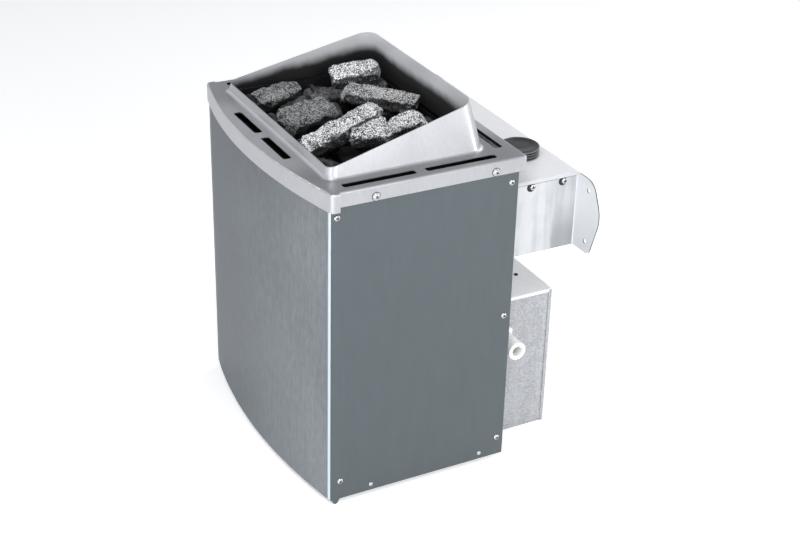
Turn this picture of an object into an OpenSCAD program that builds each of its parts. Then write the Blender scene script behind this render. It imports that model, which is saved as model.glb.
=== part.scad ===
// Wall-hung electric sauna heater: drawn top frame with a slanted stone collar, curved front,
// stone chamber with three heating elements, wall bracket with a water tank, evaporator box.
// The front faces -Y, the wall is at +Y, and the heater stands level at z = 0.

/* [Casing] */
// Width over the side panels
body_w = 400; // [392:1:420]
// Depth of a side panel
body_d = 265; // [260:1:285]
// Height of the top frame's flat above the floor
body_h = 459; // [455:1:500]
// Length of the foot tab below a side panel
foot_h = 7; // [4:0.5:10]
// Width of the foot tab
foot_w = 13; // [11:0.5:16]
// Sheet thickness of the casing
sheet_t = 1.2; // [0.9:0.1:1.4]
// Rise of the curved front panel over its width
front_bow = 22.5; // [16:0.5:25]
// How far the front panel's middle stands ahead of the side panels
front_out = 22.5; // [20:0.5:24]
// Bend radius at the front panel's vertical edges
front_bend_r = 5; // [3.5:0.5:6]
// Width of the folded flanges inside the casing
flange_w = 22; // [20:1:26]
// Distance from the flat of the top frame down to the panels' top edges
panel_drop = 7; // [6:0.5:9]
// Running clearance between sheets that slide into each other
fit_gap = 0.2; // [0.15:0.05:0.3]

/* [Top frame] */
// Sheet thickness of the drawn top frame
frame_t = 1.2; // [1:0.1:1.5]
// How far the apron's middle stands ahead of the side panels
frame_out = 27.5; // [26.5:0.5:32]
// Rise of the apron's curve over its width
frame_bow = 26.5; // [22:0.5:27]
// Height of the front apron
apron_h = 25; // [22:0.5:30]
// Height of the side and rear skirts
skirt_h = 20; // [19:0.5:22]
// Outer radius of the frame's top edges
edge_r = 3; // [2:0.1:3.5]
// How far the front corners stand proud of the side skirts
ear_out = 3.8; // [1.8:0.1:4.5]
// Vertical corner radius of the front corners
ear_r = 7; // [5:0.5:9]
// Depth of the front corners behind the side panels' front edge
ear_d = 10; // [9:0.5:12]
// How far the frame reaches behind the side panels
frame_back = 11; // [9:0.5:13]
// Corner radius at the frame's rear corners
rear_corner_r = 4; // [3.6:0.2:6]

/* [Vent slots] */
// Width of every slot
slot_w = 11.5; // [8:0.5:12]
// Corner radius of the slots in the top frame
slot_r = 3.5; // [2:0.5:3.9]
// Length of a front slot
front_slot_l = 75; // [60:1:78]
// Gap between the two front slots
front_slot_gap = 17; // [14:1:30]
// How far the front slots' middle line lies ahead of the side panels
front_slot_ahead = 5; // [4:0.5:7]
// Gap between the two slots of one side
side_slot_gap = 14; // [12:1:18]
// Start of the first side slot behind the side panel's front edge
side_slot_start = 22; // [20:1:24]
// Distance from the end of the last side slot to the side panel's rear edge
side_slot_end = 27; // [24:1:40]
// Distance from the casing's side to the side slots' middle line
side_slot_in = 15.5; // [14:0.5:17]
// Length of a rear slot
rear_slot_l = 101; // [80:1:104]
// Distance from the casing's side to the outer end of a rear slot
rear_slot_side = 36; // [30:1:44]
// Distance from the side panels' rear edge forward to the rear slots' middle line
rear_slot_in = 9.5; // [8:0.5:10]

/* [Collar] */
// Distance from the casing's side to the collar where it leaves the frame
collar_in = 34; // [33:0.5:39]
// Distance from the side panels' front edge to the collar's front wall
collar_front = 11; // [10:0.5:15]
// Distance from the side panels' rear edge to the collar's rear wall
collar_back = 28; // [26:0.5:34]
// Height of the rim at the front
collar_low = 13.5; // [11:0.5:18]
// Height of the rim at the back
collar_high = 63; // [55:1:75]
// Inward lean of the side and front walls in degrees
collar_lean = 15; // [13:0.5:17]
// Inward lean of the rear wall in degrees
collar_back_lean = 10; // [5:0.5:12]
// Corner radius at the collar's front
collar_r_front = 12; // [9:0.5:16]
// Corner radius at the collar's back
collar_r_back = 22; // [16:0.5:26]
// Width and height of the flared foot of the collar
collar_flare = 4; // [3:0.5:4.5]

/* [Stone chamber] */
// Gap between the collar's inside and the chamber wall
liner_gap = 4.5; // [3.5:0.5:6]
// Sheet thickness of the chamber
liner_t = 1.2; // [1:0.1:1.5]
// Height of the grate's top above the floor
grate_h = 147; // [140:1:155]
// Radius of the grate's rods
rod_r = 3; // [2.5:0.1:3.5]
// Width of the ledge that carries the grate
ledge_w = 8; // [7:0.5:9]
// Number of rods in the grate
rod_count = 13; // [9:2:17]
// Sheet thickness of the heat shields
shield_t = 0.8; // [0.6:0.1:1]
// Distance from the casing's side to the side heat shield
shield_in = 22; // [21.5:0.5:24]
// Distance from the side panels' front edge to the front heat shield
shield_front = 4; // [3:0.5:5]
// Distance from the side panels' rear edge to the rear heat shield
shield_back = 27; // [24:0.5:28]

/* [Heating elements] */
// Radius of the element tube
element_r = 4; // [3.25:0.25:4.25]
// Distance from the chamber's wall to the middle of the nearest element
element_wall = 14; // [13:0.5:18]
// Depth of the middles of the elements' upper bends below the frame's flat
element_drop = 20; // [18:1:30]
// Radius of the upper bends
element_bend = 21; // [18:0.5:21]
// Distance from the chamber's side wall to the outermost legs
element_side = 16; // [14:0.5:20]
// Place of the inner upper bends as a share of the outer ones' distance from the middle
element_in_share = 0.393; // [0.36:0.005:0.42]
// Length of an element's cold end below the element plate
element_tail = 30; // [24:1:34]
// Height of the element plate above the floor
plate_h = 100; // [90:1:110]
// Width over the flats of the element nuts
nut_w = 17; // [14:0.5:19]
// Thickness of a nut
nut_t = 5; // [4:0.5:7]

/* [Stones] */
// Depth of the top of the lower stones below the frame's flat
stack_drop = 27; // [24:1:40]
// Columns of lower stones
stone_columns = 4; // [3:1:5]
// Layers of lower stones
stone_layers = 4; // [3:1:5]
// Length that the visible stones are scaled by
stone_unit = 100; // [90:1:102]
// Gap left between two stones that touch
stone_gap = 0.4; // [0.3:0.1:0.8]

/* [Wall bracket] */
// Sheet thickness of the bracket
bracket_t = 1.5; // [1.2:0.1:2]
// Distance from the casing's side to the bracket's side plate
bracket_in = 17; // [15:0.5:18]
// Distance from the frame's flat down to the bracket's lower edge
bracket_drop = 154; // [150:1:160]
// Height of a side plate
bracket_h = 106.5; // [100:0.5:112]
// Distance from the side panels' rear edge to the wall
wall_gap = 104.5; // [100:0.5:120]
// How far a wing reaches out from its side plate
wing_w = 55; // [50:1:64]
// Corner radius of a wing at its top
wing_r = 24; // [18:1:30]
// Corner radius of a wing at its bottom
wing_low_r = 13; // [10:1:24]
// Radius of a wing's outer edge
wing_mid_r = 46; // [36:1:50]
// Radius of a wall hole
wall_hole_r = 3.25; // [2.75:0.25:4]
// Vertical spacing of the wall holes
wall_hole_step = 74; // [66:1:80]
// Distance from a side plate to its wall holes
wall_hole_out = 27.5; // [24:0.5:32]
// Sheet thickness of the bracket cover
cover_t = 1.2; // [1:0.1:1.5]
// Depth of the cover's side lips
cover_lip = 5; // [4:0.5:6]
// Gap between the casing's rear edge and the cover
cover_gap = 8; // [6:0.5:10]

/* [Water tank and filler cap] */
// Wall thickness of the tank
tank_t = 1; // [0.8:0.1:1.2]
// Gap between the tank and the wall
tank_back = 8; // [6:0.5:12]
// Gap between the tank's top and the bracket cover
tank_head = 4.5; // [4:0.25:6]
// Distance from the middle to the filler neck
cap_x = 104; // [95:1:110]
// Distance from the wall to the filler neck
cap_back = 44.5; // [42:0.5:47]
// Radius of the filler cap
cap_r = 27; // [25:0.5:28]
// Height of the filler cap
cap_h = 14; // [12:0.5:16]
// Wall thickness of the filler cap
cap_t = 2; // [1.8:0.1:2.2]
// Depth of the grooves round the filler cap
cap_groove = 1; // [0.6:0.1:1.2]
// Outer radius of the filler neck
neck_r = 17; // [15:0.5:18]
// Wall thickness of the filler neck
neck_t = 2.5; // [2:0.1:3]
// Clearance between the cap's thread and the neck
thread_gap = 0.3; // [0.25:0.05:0.4]
// Thickness of the cap's seal
seal_t = 1.5; // [1.2:0.1:2]

/* [Evaporator box] */
// Distance from the casing's side to the box
evap_side = 55.5; // [50:0.5:80]
// Height of the box
evap_h = 218; // [205:1:222]
// Sheet thickness of the box
evap_t = 1; // [0.8:0.1:1.2]
// Gap between the box and the wall
evap_back_gap = 2.6; // [2.4:0.1:4]
// Depth of the lips on its lid and back cover
evap_lip = 4.5; // [4:0.5:6]
// Distance between the box's side and the tank inside it
evap_room = 15; // [12:0.5:20]
// Room above the inner tank
evap_head = 33; // [30:1:40]
// Outer radius of the overflow pipe
pipe_r = 13; // [11:0.25:13.5]
// Wall thickness of the overflow pipe
pipe_t = 5.5; // [4:0.1:6]
// Distance from the box's top down to the overflow pipe's middle
pipe_drop = 56.6; // [52:0.2:64]
// Distance from the side panels' rear edge to the pipe's middle
pipe_back = 20.7; // [20:0.1:24]
// Distance from the casing's side to the pipe's open end
pipe_end_in = 8; // [5:0.5:15]
// Width of the steam outlet
steam_w = 120; // [80:1:130]
// Height of the steam outlet
steam_h = 26; // [20:0.5:27]
// Depth of the steam duct inside the casing
duct_d = 16; // [15:0.5:17]

/* [Supply inlet] */
// Bore radius of the cable gland
gland_bore_r = 6.5; // [5:0.25:7]
// Distance from the casing's side to the cable gland
gland_in = 28; // [26:0.5:30]
// Height of the cable gland above the floor
gland_z = 70; // [66:1:90]

/* [Fixings] */
// Head radius of the casing screws
screw_head_r = 4.2; // [3.6:0.1:4.6]
// Height of a screw head
screw_head_h = 2.4; // [2:0.1:2.5]
// Shank radius of the casing screws
screw_r = 2; // [1.8:0.1:2.1]
// Length of a screw's shank
screw_l = 6; // [5.5:0.5:8]
// Clearance round a screw's shank
screw_gap = 0.1; // [0.05:0.05:0.2]
// Height of the lower side screws above the panel's bottom edge
screw_low = 28; // [27:0.5:30]
// Height of the middle side screws as a share of the panel's height
screw_mid_share = 0.5; // [0.4:0.01:0.6]
// Depth of the upper side screws below the panel's top edge
screw_drop = 27; // [26:0.5:32]
// Distance from a side panel's rear edge to its rear screws
screw_back_in = 10; // [9:0.5:12]
// Distance from a side panel's front edge to its upper front screw
screw_front_in = 8; // [7:0.5:10]
// Distance from a side panel's front edge to its lower front screw
screw_low_in = 14; // [12:0.5:15]
// Depth of the frame's side screws below the frame's flat
frame_screw_drop = 14.5; // [14:0.25:15]
// Distance from the side panel's front edge to the frame's front screws
frame_screw_front = 60; // [50:1:70]
// Distance from the side panel's rear edge to the frame's rear screws
frame_screw_back = 35; // [30:1:45]
// Height of the rivets above the panel's bottom edge
rivet_z = 9; // [8.5:0.25:11]
// Distance from a side panel's front edge to its front rivet
rivet_in = 60; // [50:1:70]
// Distance from a side panel's rear edge to its rear rivet
rivet_back_in = 37; // [30:1:45]

/* [Hidden] */

$fn = 96;
// Cuts run past a face by this much
over = 1;
// Thickness of the slices that tapered blocks are drawn between
slice = 0.1;
// Segments of the long curved fronts and of the tapered blocks' corners
long_fn = 360;
corner_fn = 32;

// Places along the depth, from the front edge of the side panels
y_side = -(frame_out + body_d + wall_gap) / 2 + frame_out;
y_rear = y_side + body_d;
y_wall = y_rear + wall_gap;

// Casing
side_out = body_w / 2;
side_in = side_out - sheet_t;
panel_z = foot_h;
panel_top = body_h - panel_drop;
rear_set_in = 1;
rear_out_y = y_rear - rear_set_in;
rear_in_y = rear_out_y - sheet_t;
foot_tip_r = foot_w * 0.3;
foot_set = 1;

// Arcs of the front panel and of the apron, to a thousandth of a millimetre
function tidy(v) = round(v * 1000) / 1000;
function arc_radius(half, bow) = (half * half + bow * bow) / (2 * bow);
panel_arc_r = tidy(arc_radius(side_in, front_bow));
panel_arc_y = tidy(y_side - front_out + panel_arc_r);
skirt_x = side_out + fit_gap + frame_t;
ear_x = skirt_x + ear_out;
apron_arc_r = tidy(arc_radius(ear_x, frame_bow));
apron_arc_y = tidy(y_side - frame_out + apron_arc_r);
ear_bulge = 0.1;
ear_y = y_side + ear_d;
frame_rear_y = y_rear + frame_back;
side_slot_l = (body_d - side_slot_start - side_slot_end - side_slot_gap) / 2;

// Collar
collar_w = 2 * (side_out - collar_in);
rim_front_y = y_side + collar_front + collar_low * tan(collar_lean);
rim_back_y = y_rear - collar_back - collar_high * tan(collar_back_lean);
rim_slope = atan((collar_high - collar_low) / (rim_back_y - rim_front_y));
collar_spare = collar_high * 0.25;
// Steps of the fillet at the collar's foot, outwards and upwards, as shares of its size
flare_shares = [[1, 0], [0.5, 0.134], [0.134, 0.5], [0, 1]];

// Stone chamber, from the collar's inside at the frame
liner_x = collar_w / 2 - frame_t - liner_gap;
liner_y0 = y_side + collar_front + frame_t + liner_gap;
liner_y1 = y_rear - collar_back - frame_t - liner_gap;
liner_r = collar_r_front;
liner_z0 = grate_h - 2 * rod_r - liner_t;
liner_z1 = body_h - over;
chamber_x = liner_x - liner_t;
chamber_y0 = liner_y0 + liner_t;
chamber_y1 = liner_y1 - liner_t;

// Base tray
tray_set = 3;
tray_z = panel_z + tray_set;
tray_floor = tray_z + sheet_t;
tray_flange = 32;
tray_y1 = rear_in_y - fit_gap;
tray_slot_l = 60;
tray_slot_w = 9;
tray_slot_step = 20;
tray_slot_rows = 5;

// Chamber supports
support_t = 1.5;
support_foot = 14;
support_shelf = 10;
support_lap = 24;
support_in = 22;

// Heat shields
shield_x = side_out - shield_in;
shield_y0 = y_side + shield_front;
shield_y1 = y_rear - shield_back;
shield_top = panel_top - panel_drop;
shield_lip = 10;

// Heating elements
element_mid_y = (chamber_y0 + chamber_y1) / 2;
element_step = element_mid_y - chamber_y0 - element_wall;
element_ys = [element_mid_y - element_step, element_mid_y, element_mid_y + element_step];
element_top = body_h - element_drop;
element_out = chamber_x - element_side - element_bend;
element_in = element_out * element_in_share;
leg_xs = [element_in - element_bend, element_in + element_bend,
          element_out - element_bend, element_out + element_bend];
leg_x = leg_xs[3];
low_bend = (leg_xs[2] - leg_xs[1]) / 2;
element_base = grate_h + 2 * element_r;
element_end = plate_h - element_tail;
pin_r = element_r / 2;
pin_l = 18;
pin_end = element_end - pin_l;
element_hole_gap = 0.1;
plate_t = 2;
plate_flange = 12;
plate_x = liner_x - fit_gap;
plate_y0 = element_ys[0] - nut_w;
plate_y1 = element_ys[2] + nut_w;
bus_w = 12;
bus_t = 2;
block_w = 120;
block_d = 46;
block_h = 26;
block_pole_count = 6;
block_pole_r = 3;
cutout_r = 12;
cutout_h = 8;
cutout_x_share = 0.38;

// Lower stones: two rows between each pair of elements
stack_top = body_h - stack_drop;
row_count = 4;
row_d = element_step / 2;
element_room = element_r + stone_gap;
stone_slim_share = 0.8;
stone_angle = 9;

// Visible stones: x, y and height as shares of the stone unit from the chamber's middle, then
// length, width and height as shares of it, then the turns about z, y and x, then a seed
visible_stone_shares = [
    [0.48, -0.39, 0.4, 1.39, 0.25, 0.18, 110, -8, 16, 11],
    [-0.26, -0.51, 0.29, 0.8, 0.46, 0.3, 101, -10, 12, 12],
    [-1.09, -0.59, 0.345, 0.7, 0.33, 0.19, 101, -5, 10, 13],
    [-1.12, 0.6, 0.47, 0.68, 0.34, 0.2, 81, -7, 8, 14],
    [0.58, -0.04, 0.365, 0.57, 0.46, 0.2, 82, -3, 8, 15],
    [0.55, 0.52, 0.33, 0.53, 0.36, 0.22, 80, -11, 12, 16],
    [-0.27, 0.57, 0.42, 1.07, 0.29, 0.18, 40, -2, 8, 17],
    [-0.93, -0.44, 0.16, 0.52, 0.3, 0.24, 108, -2, 6, 18],
    [-1.02, 0.1, 0.17, 0.59, 0.34, 0.3, 72, -2, 4, 19],
    [-1.13, 0.71, 0.17, 0.68, 0.44, 0.34, 81, -2, -4, 20],
    [-0.23, 0.72, 0.16, 0.63, 0.36, 0.3, 72, 0, 5, 21],
    [0.38, 0.5, 0.105, 0.8, 0.38, 0.24, 103, -1, 4, 22],
    [0.28, -0.57, 0.09, 0.58, 0.26, 0.28, 119, -4, -6, 23],
    [0.92, -0.86, 0.1, 0.45, 0.28, 0.26, 40, 5, 8, 24],
    [-1.29, -0.57, 0.14, 0.61, 0.34, 0.28, 97, -2, 4, 25]
];
stone_origin_z = stack_top - stone_unit * 0.05;

// Wall bracket
bracket_x = side_out - bracket_in;
bracket_z = body_h - bracket_drop;
bracket_top = bracket_z + bracket_h;
bracket_y0 = rear_out_y;
bracket_y1 = y_wall;
bracket_flange = 20;
bracket_shelf = 14;
cover_top = bracket_top + cover_t;
cover_x = bracket_x + fit_gap + cover_t;
cover_y0 = y_rear + cover_gap;
wing_z = bracket_z + bracket_h / 2;
wing_top_share = 0.84;
wing_low_share = 0.76;
bracket_screw_drop = 9;
bracket_screw_front = 33.6;
bracket_screw_back = 22;

// Water tank
tank_x = bracket_x - bracket_t - fit_gap;
tank_y0 = bracket_y0 + bracket_t + fit_gap;
tank_y1 = y_wall - tank_back;
tank_z0 = bracket_z + bracket_t + fit_gap;
tank_z1 = bracket_top - tank_head;
neck_in_r = neck_r - neck_t;
neck_flange_r = 24;
neck_flange_t = 2;
cap_y = y_wall - cap_back;
cap_z0 = cover_top + 2 * fit_gap;
cap_z1 = cap_z0 + cap_h;
cap_in_r = neck_r + thread_gap;
seal_gap = 0.05;
neck_top = cap_z1 - cap_t - seal_t - 2 * seal_gap;
cover_hole_r = neck_r + 1.5 * neck_t;
groove_count = 3;
cap_dish_r = cap_r * 0.72;
cap_dish = cap_t * 0.3;
cap_grip_w = cap_r * 0.2;
feed_in = 30;
feed_y = tank_y0 + feed_in;
feed_r = 6;
feed_bore_r = 4.5;
feed_collar_r = 9;
feed_collar_h = 5;

// Evaporator box
evap_x = side_out - evap_side;
evap_w = 2 * evap_x;
evap_y0 = rear_out_y;
evap_y1 = y_wall - evap_back_gap;
evap_tank_h = evap_h - evap_head;
pipe_z = evap_h - pipe_drop;
evap_cover_x = evap_x + fit_gap + evap_t;
evap_tank_x = evap_x - evap_room;
evap_tank_y0 = evap_y0 + evap_t + fit_gap;
evap_tank_y1 = evap_y1 - evap_t - evap_room / 2;
evap_element_z = 34;
evap_element_y = (evap_tank_y0 + evap_tank_y1) / 2;
evap_loop_r = 20;
evap_loop_share = 0.75;
evap_flange_t = 2;
evap_flange_w = 66;
evap_flange_h = 26;
evap_screw_in = 6.5;
evap_screw_low = 20;
evap_screw_drop = 6;
evap_screw_step = 15;
evap_screw_zs = [evap_screw_low, evap_h - evap_screw_drop - evap_screw_step, evap_h - evap_screw_drop];
evap_rail = 13;
evap_top_rail = 34;
evap_screw_r = 1.6;
evap_screw_head_r = 3;
evap_screw_head_h = 2.2;
evap_screw_l = 5;
lid_screw_x = 90;
lid_screw_y = 25;
pipe_y = y_rear + pipe_back;
pipe_end = side_out - pipe_end_in;
pipe_start = evap_tank_x - 3 * tank_t;
pipe_gap = 0.15;
pipe_shoulder = 0.5;
pipe_thread_r = pipe_r - pipe_shoulder;
overflow_nut_w = 34;
overflow_nut_t = 6;
steam_drop = 12;
steam_z = evap_h - evap_t - steam_h - steam_drop;

// Steam duct
duct_side = 35;
duct_x = side_out - duct_side;
duct_y0 = rear_in_y - duct_d;
duct_lap = 12;
duct_z0 = steam_z - duct_lap;
duct_top = shield_top;

// Cable gland
gland_x = side_out - gland_in;
gland_wall = 3.5;
gland_lip = 1.2;
gland_body_r = gland_bore_r + gland_wall;
gland_flange_w = 26;
gland_flange_t = 5;
gland_dome_l = 14;
gland_inside = 12;
gland_nut_t = 5;

// Frame screws
washer_r = 6;
washer_t = 0.8;

// A rectangle with round corners, as exact arcs
module round_rect(x0, y0, x1, y1, r) {
    translate([x0 + r, y0]) square([x1 - x0 - 2 * r, y1 - y0]);
    translate([x0, y0 + r]) square([x1 - x0, y1 - y0 - 2 * r]);
    for (x = [x0 + r, x1 - r], y = [y0 + r, y1 - r]) translate([x, y]) circle(r = r);
}

// A slot with round ends, centred, running along x
module slot_shape(l, w) {
    square([l - w, w], center = true);
    for (s = [-1, 1]) translate([s * (l - w) / 2, 0]) circle(r = w / 2);
}

// Plan of a bowed front: a long arc that meets the straight sides in two small arcs
module bow_plan(half, big_r, small_r, arc_y, y_end, inset) {
    small_y = arc_y - sqrt(pow(big_r - small_r, 2) - pow(half - small_r, 2));
    join_x = (big_r - inset) * (half - small_r) / (big_r - small_r);
    intersection() {
        translate([0, arc_y]) circle(r = big_r - inset, $fn = long_fn);
        translate([-join_x, arc_y - big_r]) square([2 * join_x, y_end - arc_y + big_r]);
    }
    for (s = [-1, 1]) translate([s * (half - small_r), small_y]) circle(r = small_r - inset);
    translate([inset - half, small_y]) square([2 * (half - inset), y_end - small_y]);
}

module panel_plan(inset, y_end) {
    bow_plan(side_in, panel_arc_r, front_bend_r, panel_arc_y, y_end, inset);
}

module apron_plan(inset, y_end) {
    bow_plan(ear_x, apron_arc_r, ear_r, apron_arc_y, y_end, inset);
}

module both_sides() {
    children();
    mirror([1, 0, 0]) children();
}

// A pan-head screw along +z, its head seated at zero
module screw(head_r, head_h, r, l) {
    translate([0, 0, -l]) cylinder(r = r, h = l + head_h / 2);
    cylinder(r = head_r, h = head_h / 2);
    translate([0, 0, head_h / 2]) cylinder(r1 = head_r, r2 = head_r * 0.62, h = head_h / 2);
}

module hex_nut(w, t, bore_r) {
    difference() {
        cylinder(r = w / sqrt(3), h = t, $fn = 6);
        translate([0, 0, -over]) cylinder(r = bore_r, h = t + 2 * over);
    }
}

// Places of the five screws on a side panel, as y and z
side_screw_places = [
    [y_side + screw_front_in, panel_top - screw_drop],
    [y_rear - screw_back_in, panel_top - screw_drop],
    [y_rear - screw_back_in, panel_z + (panel_top - panel_z) * screw_mid_share],
    [y_rear - screw_back_in, panel_z + screw_low],
    [y_side + screw_low_in, panel_z + screw_low]
];
rivet_places = [
    [y_side + rivet_in, panel_z + rivet_z],
    [y_rear - rivet_back_in, panel_z + rivet_z]
];
frame_screw_places = [
    [y_side + frame_screw_front, body_h - frame_screw_drop],
    [y_rear - frame_screw_back, body_h - frame_screw_drop]
];

// Holes through every sheet at the casing's sides
module side_holes(places, r) {
    both_sides()
        for (p = places)
            translate([side_in - 2 * flange_w, p[0], p[1]])
                rotate([0, 90, 0]) cylinder(r = r, h = 3 * flange_w);
}

// A disc of radius r and height h whose upper edge is rounded by e
module rounded_disc(r, e, h, segments) {
    rotate_extrude($fn = segments) {
        square([r - e, h]);
        square([r, h - e]);
        intersection() {
            translate([r - e, h - e]) circle(r = e, $fn = corner_fn);
            translate([r - e, h - e]) square(e);
        }
    }
}

// Section of a bar of the given half width whose upper edges are rounded by e
module rounded_section(half, e, h) {
    translate([-half, 0]) square([2 * half, h - e]);
    translate([e - half, 0]) square([2 * (half - e), h]);
    for (s = [-1, 1]) translate([s * (half - e), h - e]) circle(r = e, $fn = corner_fn);
}

// The collar as a tapered block, from below the frame to above the rim
module collar_block(inset, below, above) {
    hull()
        for (h = [-below, above]) {
            x = collar_w / 2 - h * tan(collar_lean) - inset;
            y0 = y_side + collar_front + h * tan(collar_lean) + inset;
            y1 = y_rear - collar_back - h * tan(collar_back_lean) - inset;
            for (s = [-1, 1]) {
                translate([s * (x - collar_r_front + inset), y0 + collar_r_front - inset, body_h + h])
                    cylinder(r = collar_r_front - inset, h = slice, $fn = corner_fn);
                translate([s * (x - collar_r_back + inset), y1 - collar_r_back + inset, body_h + h])
                    cylinder(r = collar_r_back - inset, h = slice, $fn = corner_fn);
            }
        }
}

// Hollow fillet at the collar's foot, in short slopes
module collar_foot() {
    for (n = [0:len(flare_shares) - 2])
        hull()
            for (k = [n, n + 1]) {
                grow = collar_flare * flare_shares[k][0];
                h = collar_flare * flare_shares[k][1];
                x = collar_w / 2 - h * tan(collar_lean) + grow;
                y0 = y_side + collar_front + h * tan(collar_lean) - grow;
                y1 = y_rear - collar_back - h * tan(collar_back_lean) + grow;
                r0 = collar_r_front + grow;
                r1 = collar_r_back + grow;
                for (s = [-1, 1]) {
                    translate([s * (x - r0), y0 + r0, body_h + h - slice])
                        cylinder(r = r0, h = slice, $fn = corner_fn);
                    translate([s * (x - r1), y1 - r1, body_h + h - slice])
                        cylinder(r = r1, h = slice, $fn = corner_fn);
                }
            }
}

// Everything above the slanted rim
module above_rim() {
    translate([0, rim_front_y, body_h + collar_low])
        rotate([rim_slope, 0, 0])
            translate([-collar_w, -body_d, 0])
                cube([2 * collar_w, 3 * body_d, 2 * collar_high]);
}

module frame_slot(l) {
    square([l, slot_w - 2 * slot_r], center = true);
    square([l - 2 * slot_r, slot_w], center = true);
    for (s = [-1, 1], t = [-1, 1])
        translate([s * (l / 2 - slot_r), t * (slot_w / 2 - slot_r)]) circle(r = slot_r, $fn = corner_fn);
}

module vent_slots() {
    for (s = [-1, 1]) {
        translate([s * (front_slot_l + front_slot_gap) / 2, y_side - front_slot_ahead])
            frame_slot(front_slot_l);
        translate([s * (side_out - rear_slot_side - rear_slot_l / 2), y_rear - rear_slot_in])
            frame_slot(rear_slot_l);
        for (k = [0, 1])
            translate([s * (side_out - side_slot_in),
                       y_side + side_slot_start + side_slot_l / 2 + k * (side_slot_l + side_slot_gap)])
                rotate(90) frame_slot(side_slot_l);
    }
}

// Front corner of the apron: centre of its small arc, which stands a little proud of the long arc
ear_cx = ear_x - ear_r;
ear_cy = tidy(apron_arc_y - sqrt(pow(apron_arc_r - ear_r + ear_bulge, 2) - pow(ear_cx, 2)));

// The frame as a block with rounded upper edges, drawn in by the inset on every side
module frame_block(inset, y_step, below, skirt_below) {
    e = edge_r - inset;
    apron = apron_h - inset + below;
    skirt = skirt_h - inset + skirt_below;
    half = skirt_x - inset;
    corner_r = rear_corner_r - inset;
    corner_x = skirt_x - rear_corner_r;
    corner_y = frame_rear_y - rear_corner_r;
    translate([0, 0, body_h - apron_h - below]) {
        intersection() {
            translate([0, apron_arc_y]) rounded_disc(apron_arc_r - inset, e, apron, long_fn);
            translate([-ear_cx, apron_arc_y - apron_arc_r, 0])
                cube([2 * ear_cx, y_step - apron_arc_y + apron_arc_r, apron_h + below]);
        }
        for (s = [-1, 1]) translate([s * ear_cx, ear_cy]) rounded_disc(ear_r - inset, e, apron, $fn);
        translate([0, y_step, 0])
            rotate([90, 0, 0])
                linear_extrude(y_step - ear_cy) rounded_section(ear_x - inset, e, apron);
    }
    translate([0, 0, body_h - skirt_h - skirt_below]) {
        translate([0, corner_y, 0])
            rotate([90, 0, 0])
                linear_extrude(corner_y - y_step + frame_t / 2) rounded_section(half, e, skirt);
        for (s = [-1, 1]) translate([s * corner_x, corner_y]) rounded_disc(corner_r, e, skirt, $fn);
        translate([-corner_x, 0, 0])
            rotate([90, 0, 90])
                linear_extrude(2 * corner_x)
                    translate([frame_rear_y - inset - 2 * rear_corner_r, 0])
                        rounded_section(2 * rear_corner_r, e, skirt);
    }
}

module top_frame() {
    color("#b9bbc1")
        difference() {
            union() {
                frame_block(0, ear_y, 0, 0);
                difference() {
                    union() {
                        collar_block(0, 0, collar_high + collar_spare);
                        collar_foot();
                    }
                    above_rim();
                }
            }
            frame_block(frame_t, ear_y - frame_t, over, apron_h - skirt_h + over);
            collar_block(frame_t, frame_t + over, collar_high + 2 * collar_spare);
            translate([0, 0, body_h - frame_t - over])
                linear_extrude(frame_t + 2 * over) vent_slots();
            side_holes(frame_screw_places, screw_r + screw_gap);
        }
}

module frame_screws() {
    color("#c9cbd0")
        both_sides()
            for (p = frame_screw_places)
                translate([skirt_x, p[0], p[1]])
                    rotate([0, 90, 0]) {
                        cylinder(r = washer_r, h = washer_t);
                        translate([0, 0, washer_t])
                            screw(screw_head_r, screw_head_h, screw_r, screw_l + washer_t);
                    }
}

module front_panel() {
    color("#8a9096")
        difference() {
            translate([0, 0, panel_z])
                linear_extrude(panel_top - panel_z)
                    difference() {
                        panel_plan(0, y_side + flange_w);
                        panel_plan(sheet_t, y_side + flange_w + over);
                    }
            side_holes(side_screw_places, screw_r + screw_gap);
        }
}

// Outline of the foot tab, hanging from zero, as y and z
module foot_shape() {
    polygon([[0, 0], [foot_w, 0], [foot_w / 2 + foot_tip_r, foot_tip_r - foot_h],
             [foot_w / 2 - foot_tip_r, foot_tip_r - foot_h]]);
    translate([foot_w / 2, foot_tip_r - foot_h]) circle(r = foot_tip_r);
}

module side_panel() {
    color("#6d767c")
        difference() {
            union() {
                translate([side_in, y_side, panel_z]) cube([sheet_t, body_d, panel_top - panel_z]);
                translate([side_in, y_side + foot_set, panel_z])
                    rotate([90, 0, 90]) linear_extrude(sheet_t) foot_shape();
            }
            side_holes(side_screw_places, screw_r + screw_gap);
            side_holes(frame_screw_places, screw_r + screw_gap);
            side_holes(rivet_places, screw_r + screw_gap);
        }
}

module side_panel_right() {
    side_panel();
}

module side_panel_left() {
    mirror([1, 0, 0]) side_panel();
}

module side_panel_screws() {
    color("#d5d7da")
        both_sides()
            for (p = side_screw_places)
                translate([side_out, p[0], p[1]])
                    rotate([0, 90, 0]) screw(screw_head_r, screw_head_h, screw_r, screw_l);
}

module panel_rivets() {
    color("#c2c5c9")
        both_sides()
            for (p = rivet_places)
                translate([side_out, p[0], p[1]])
                    rotate([0, 90, 0])
                        screw(screw_head_r * 0.7, screw_head_h / 2, screw_r, screw_l);
}

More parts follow.
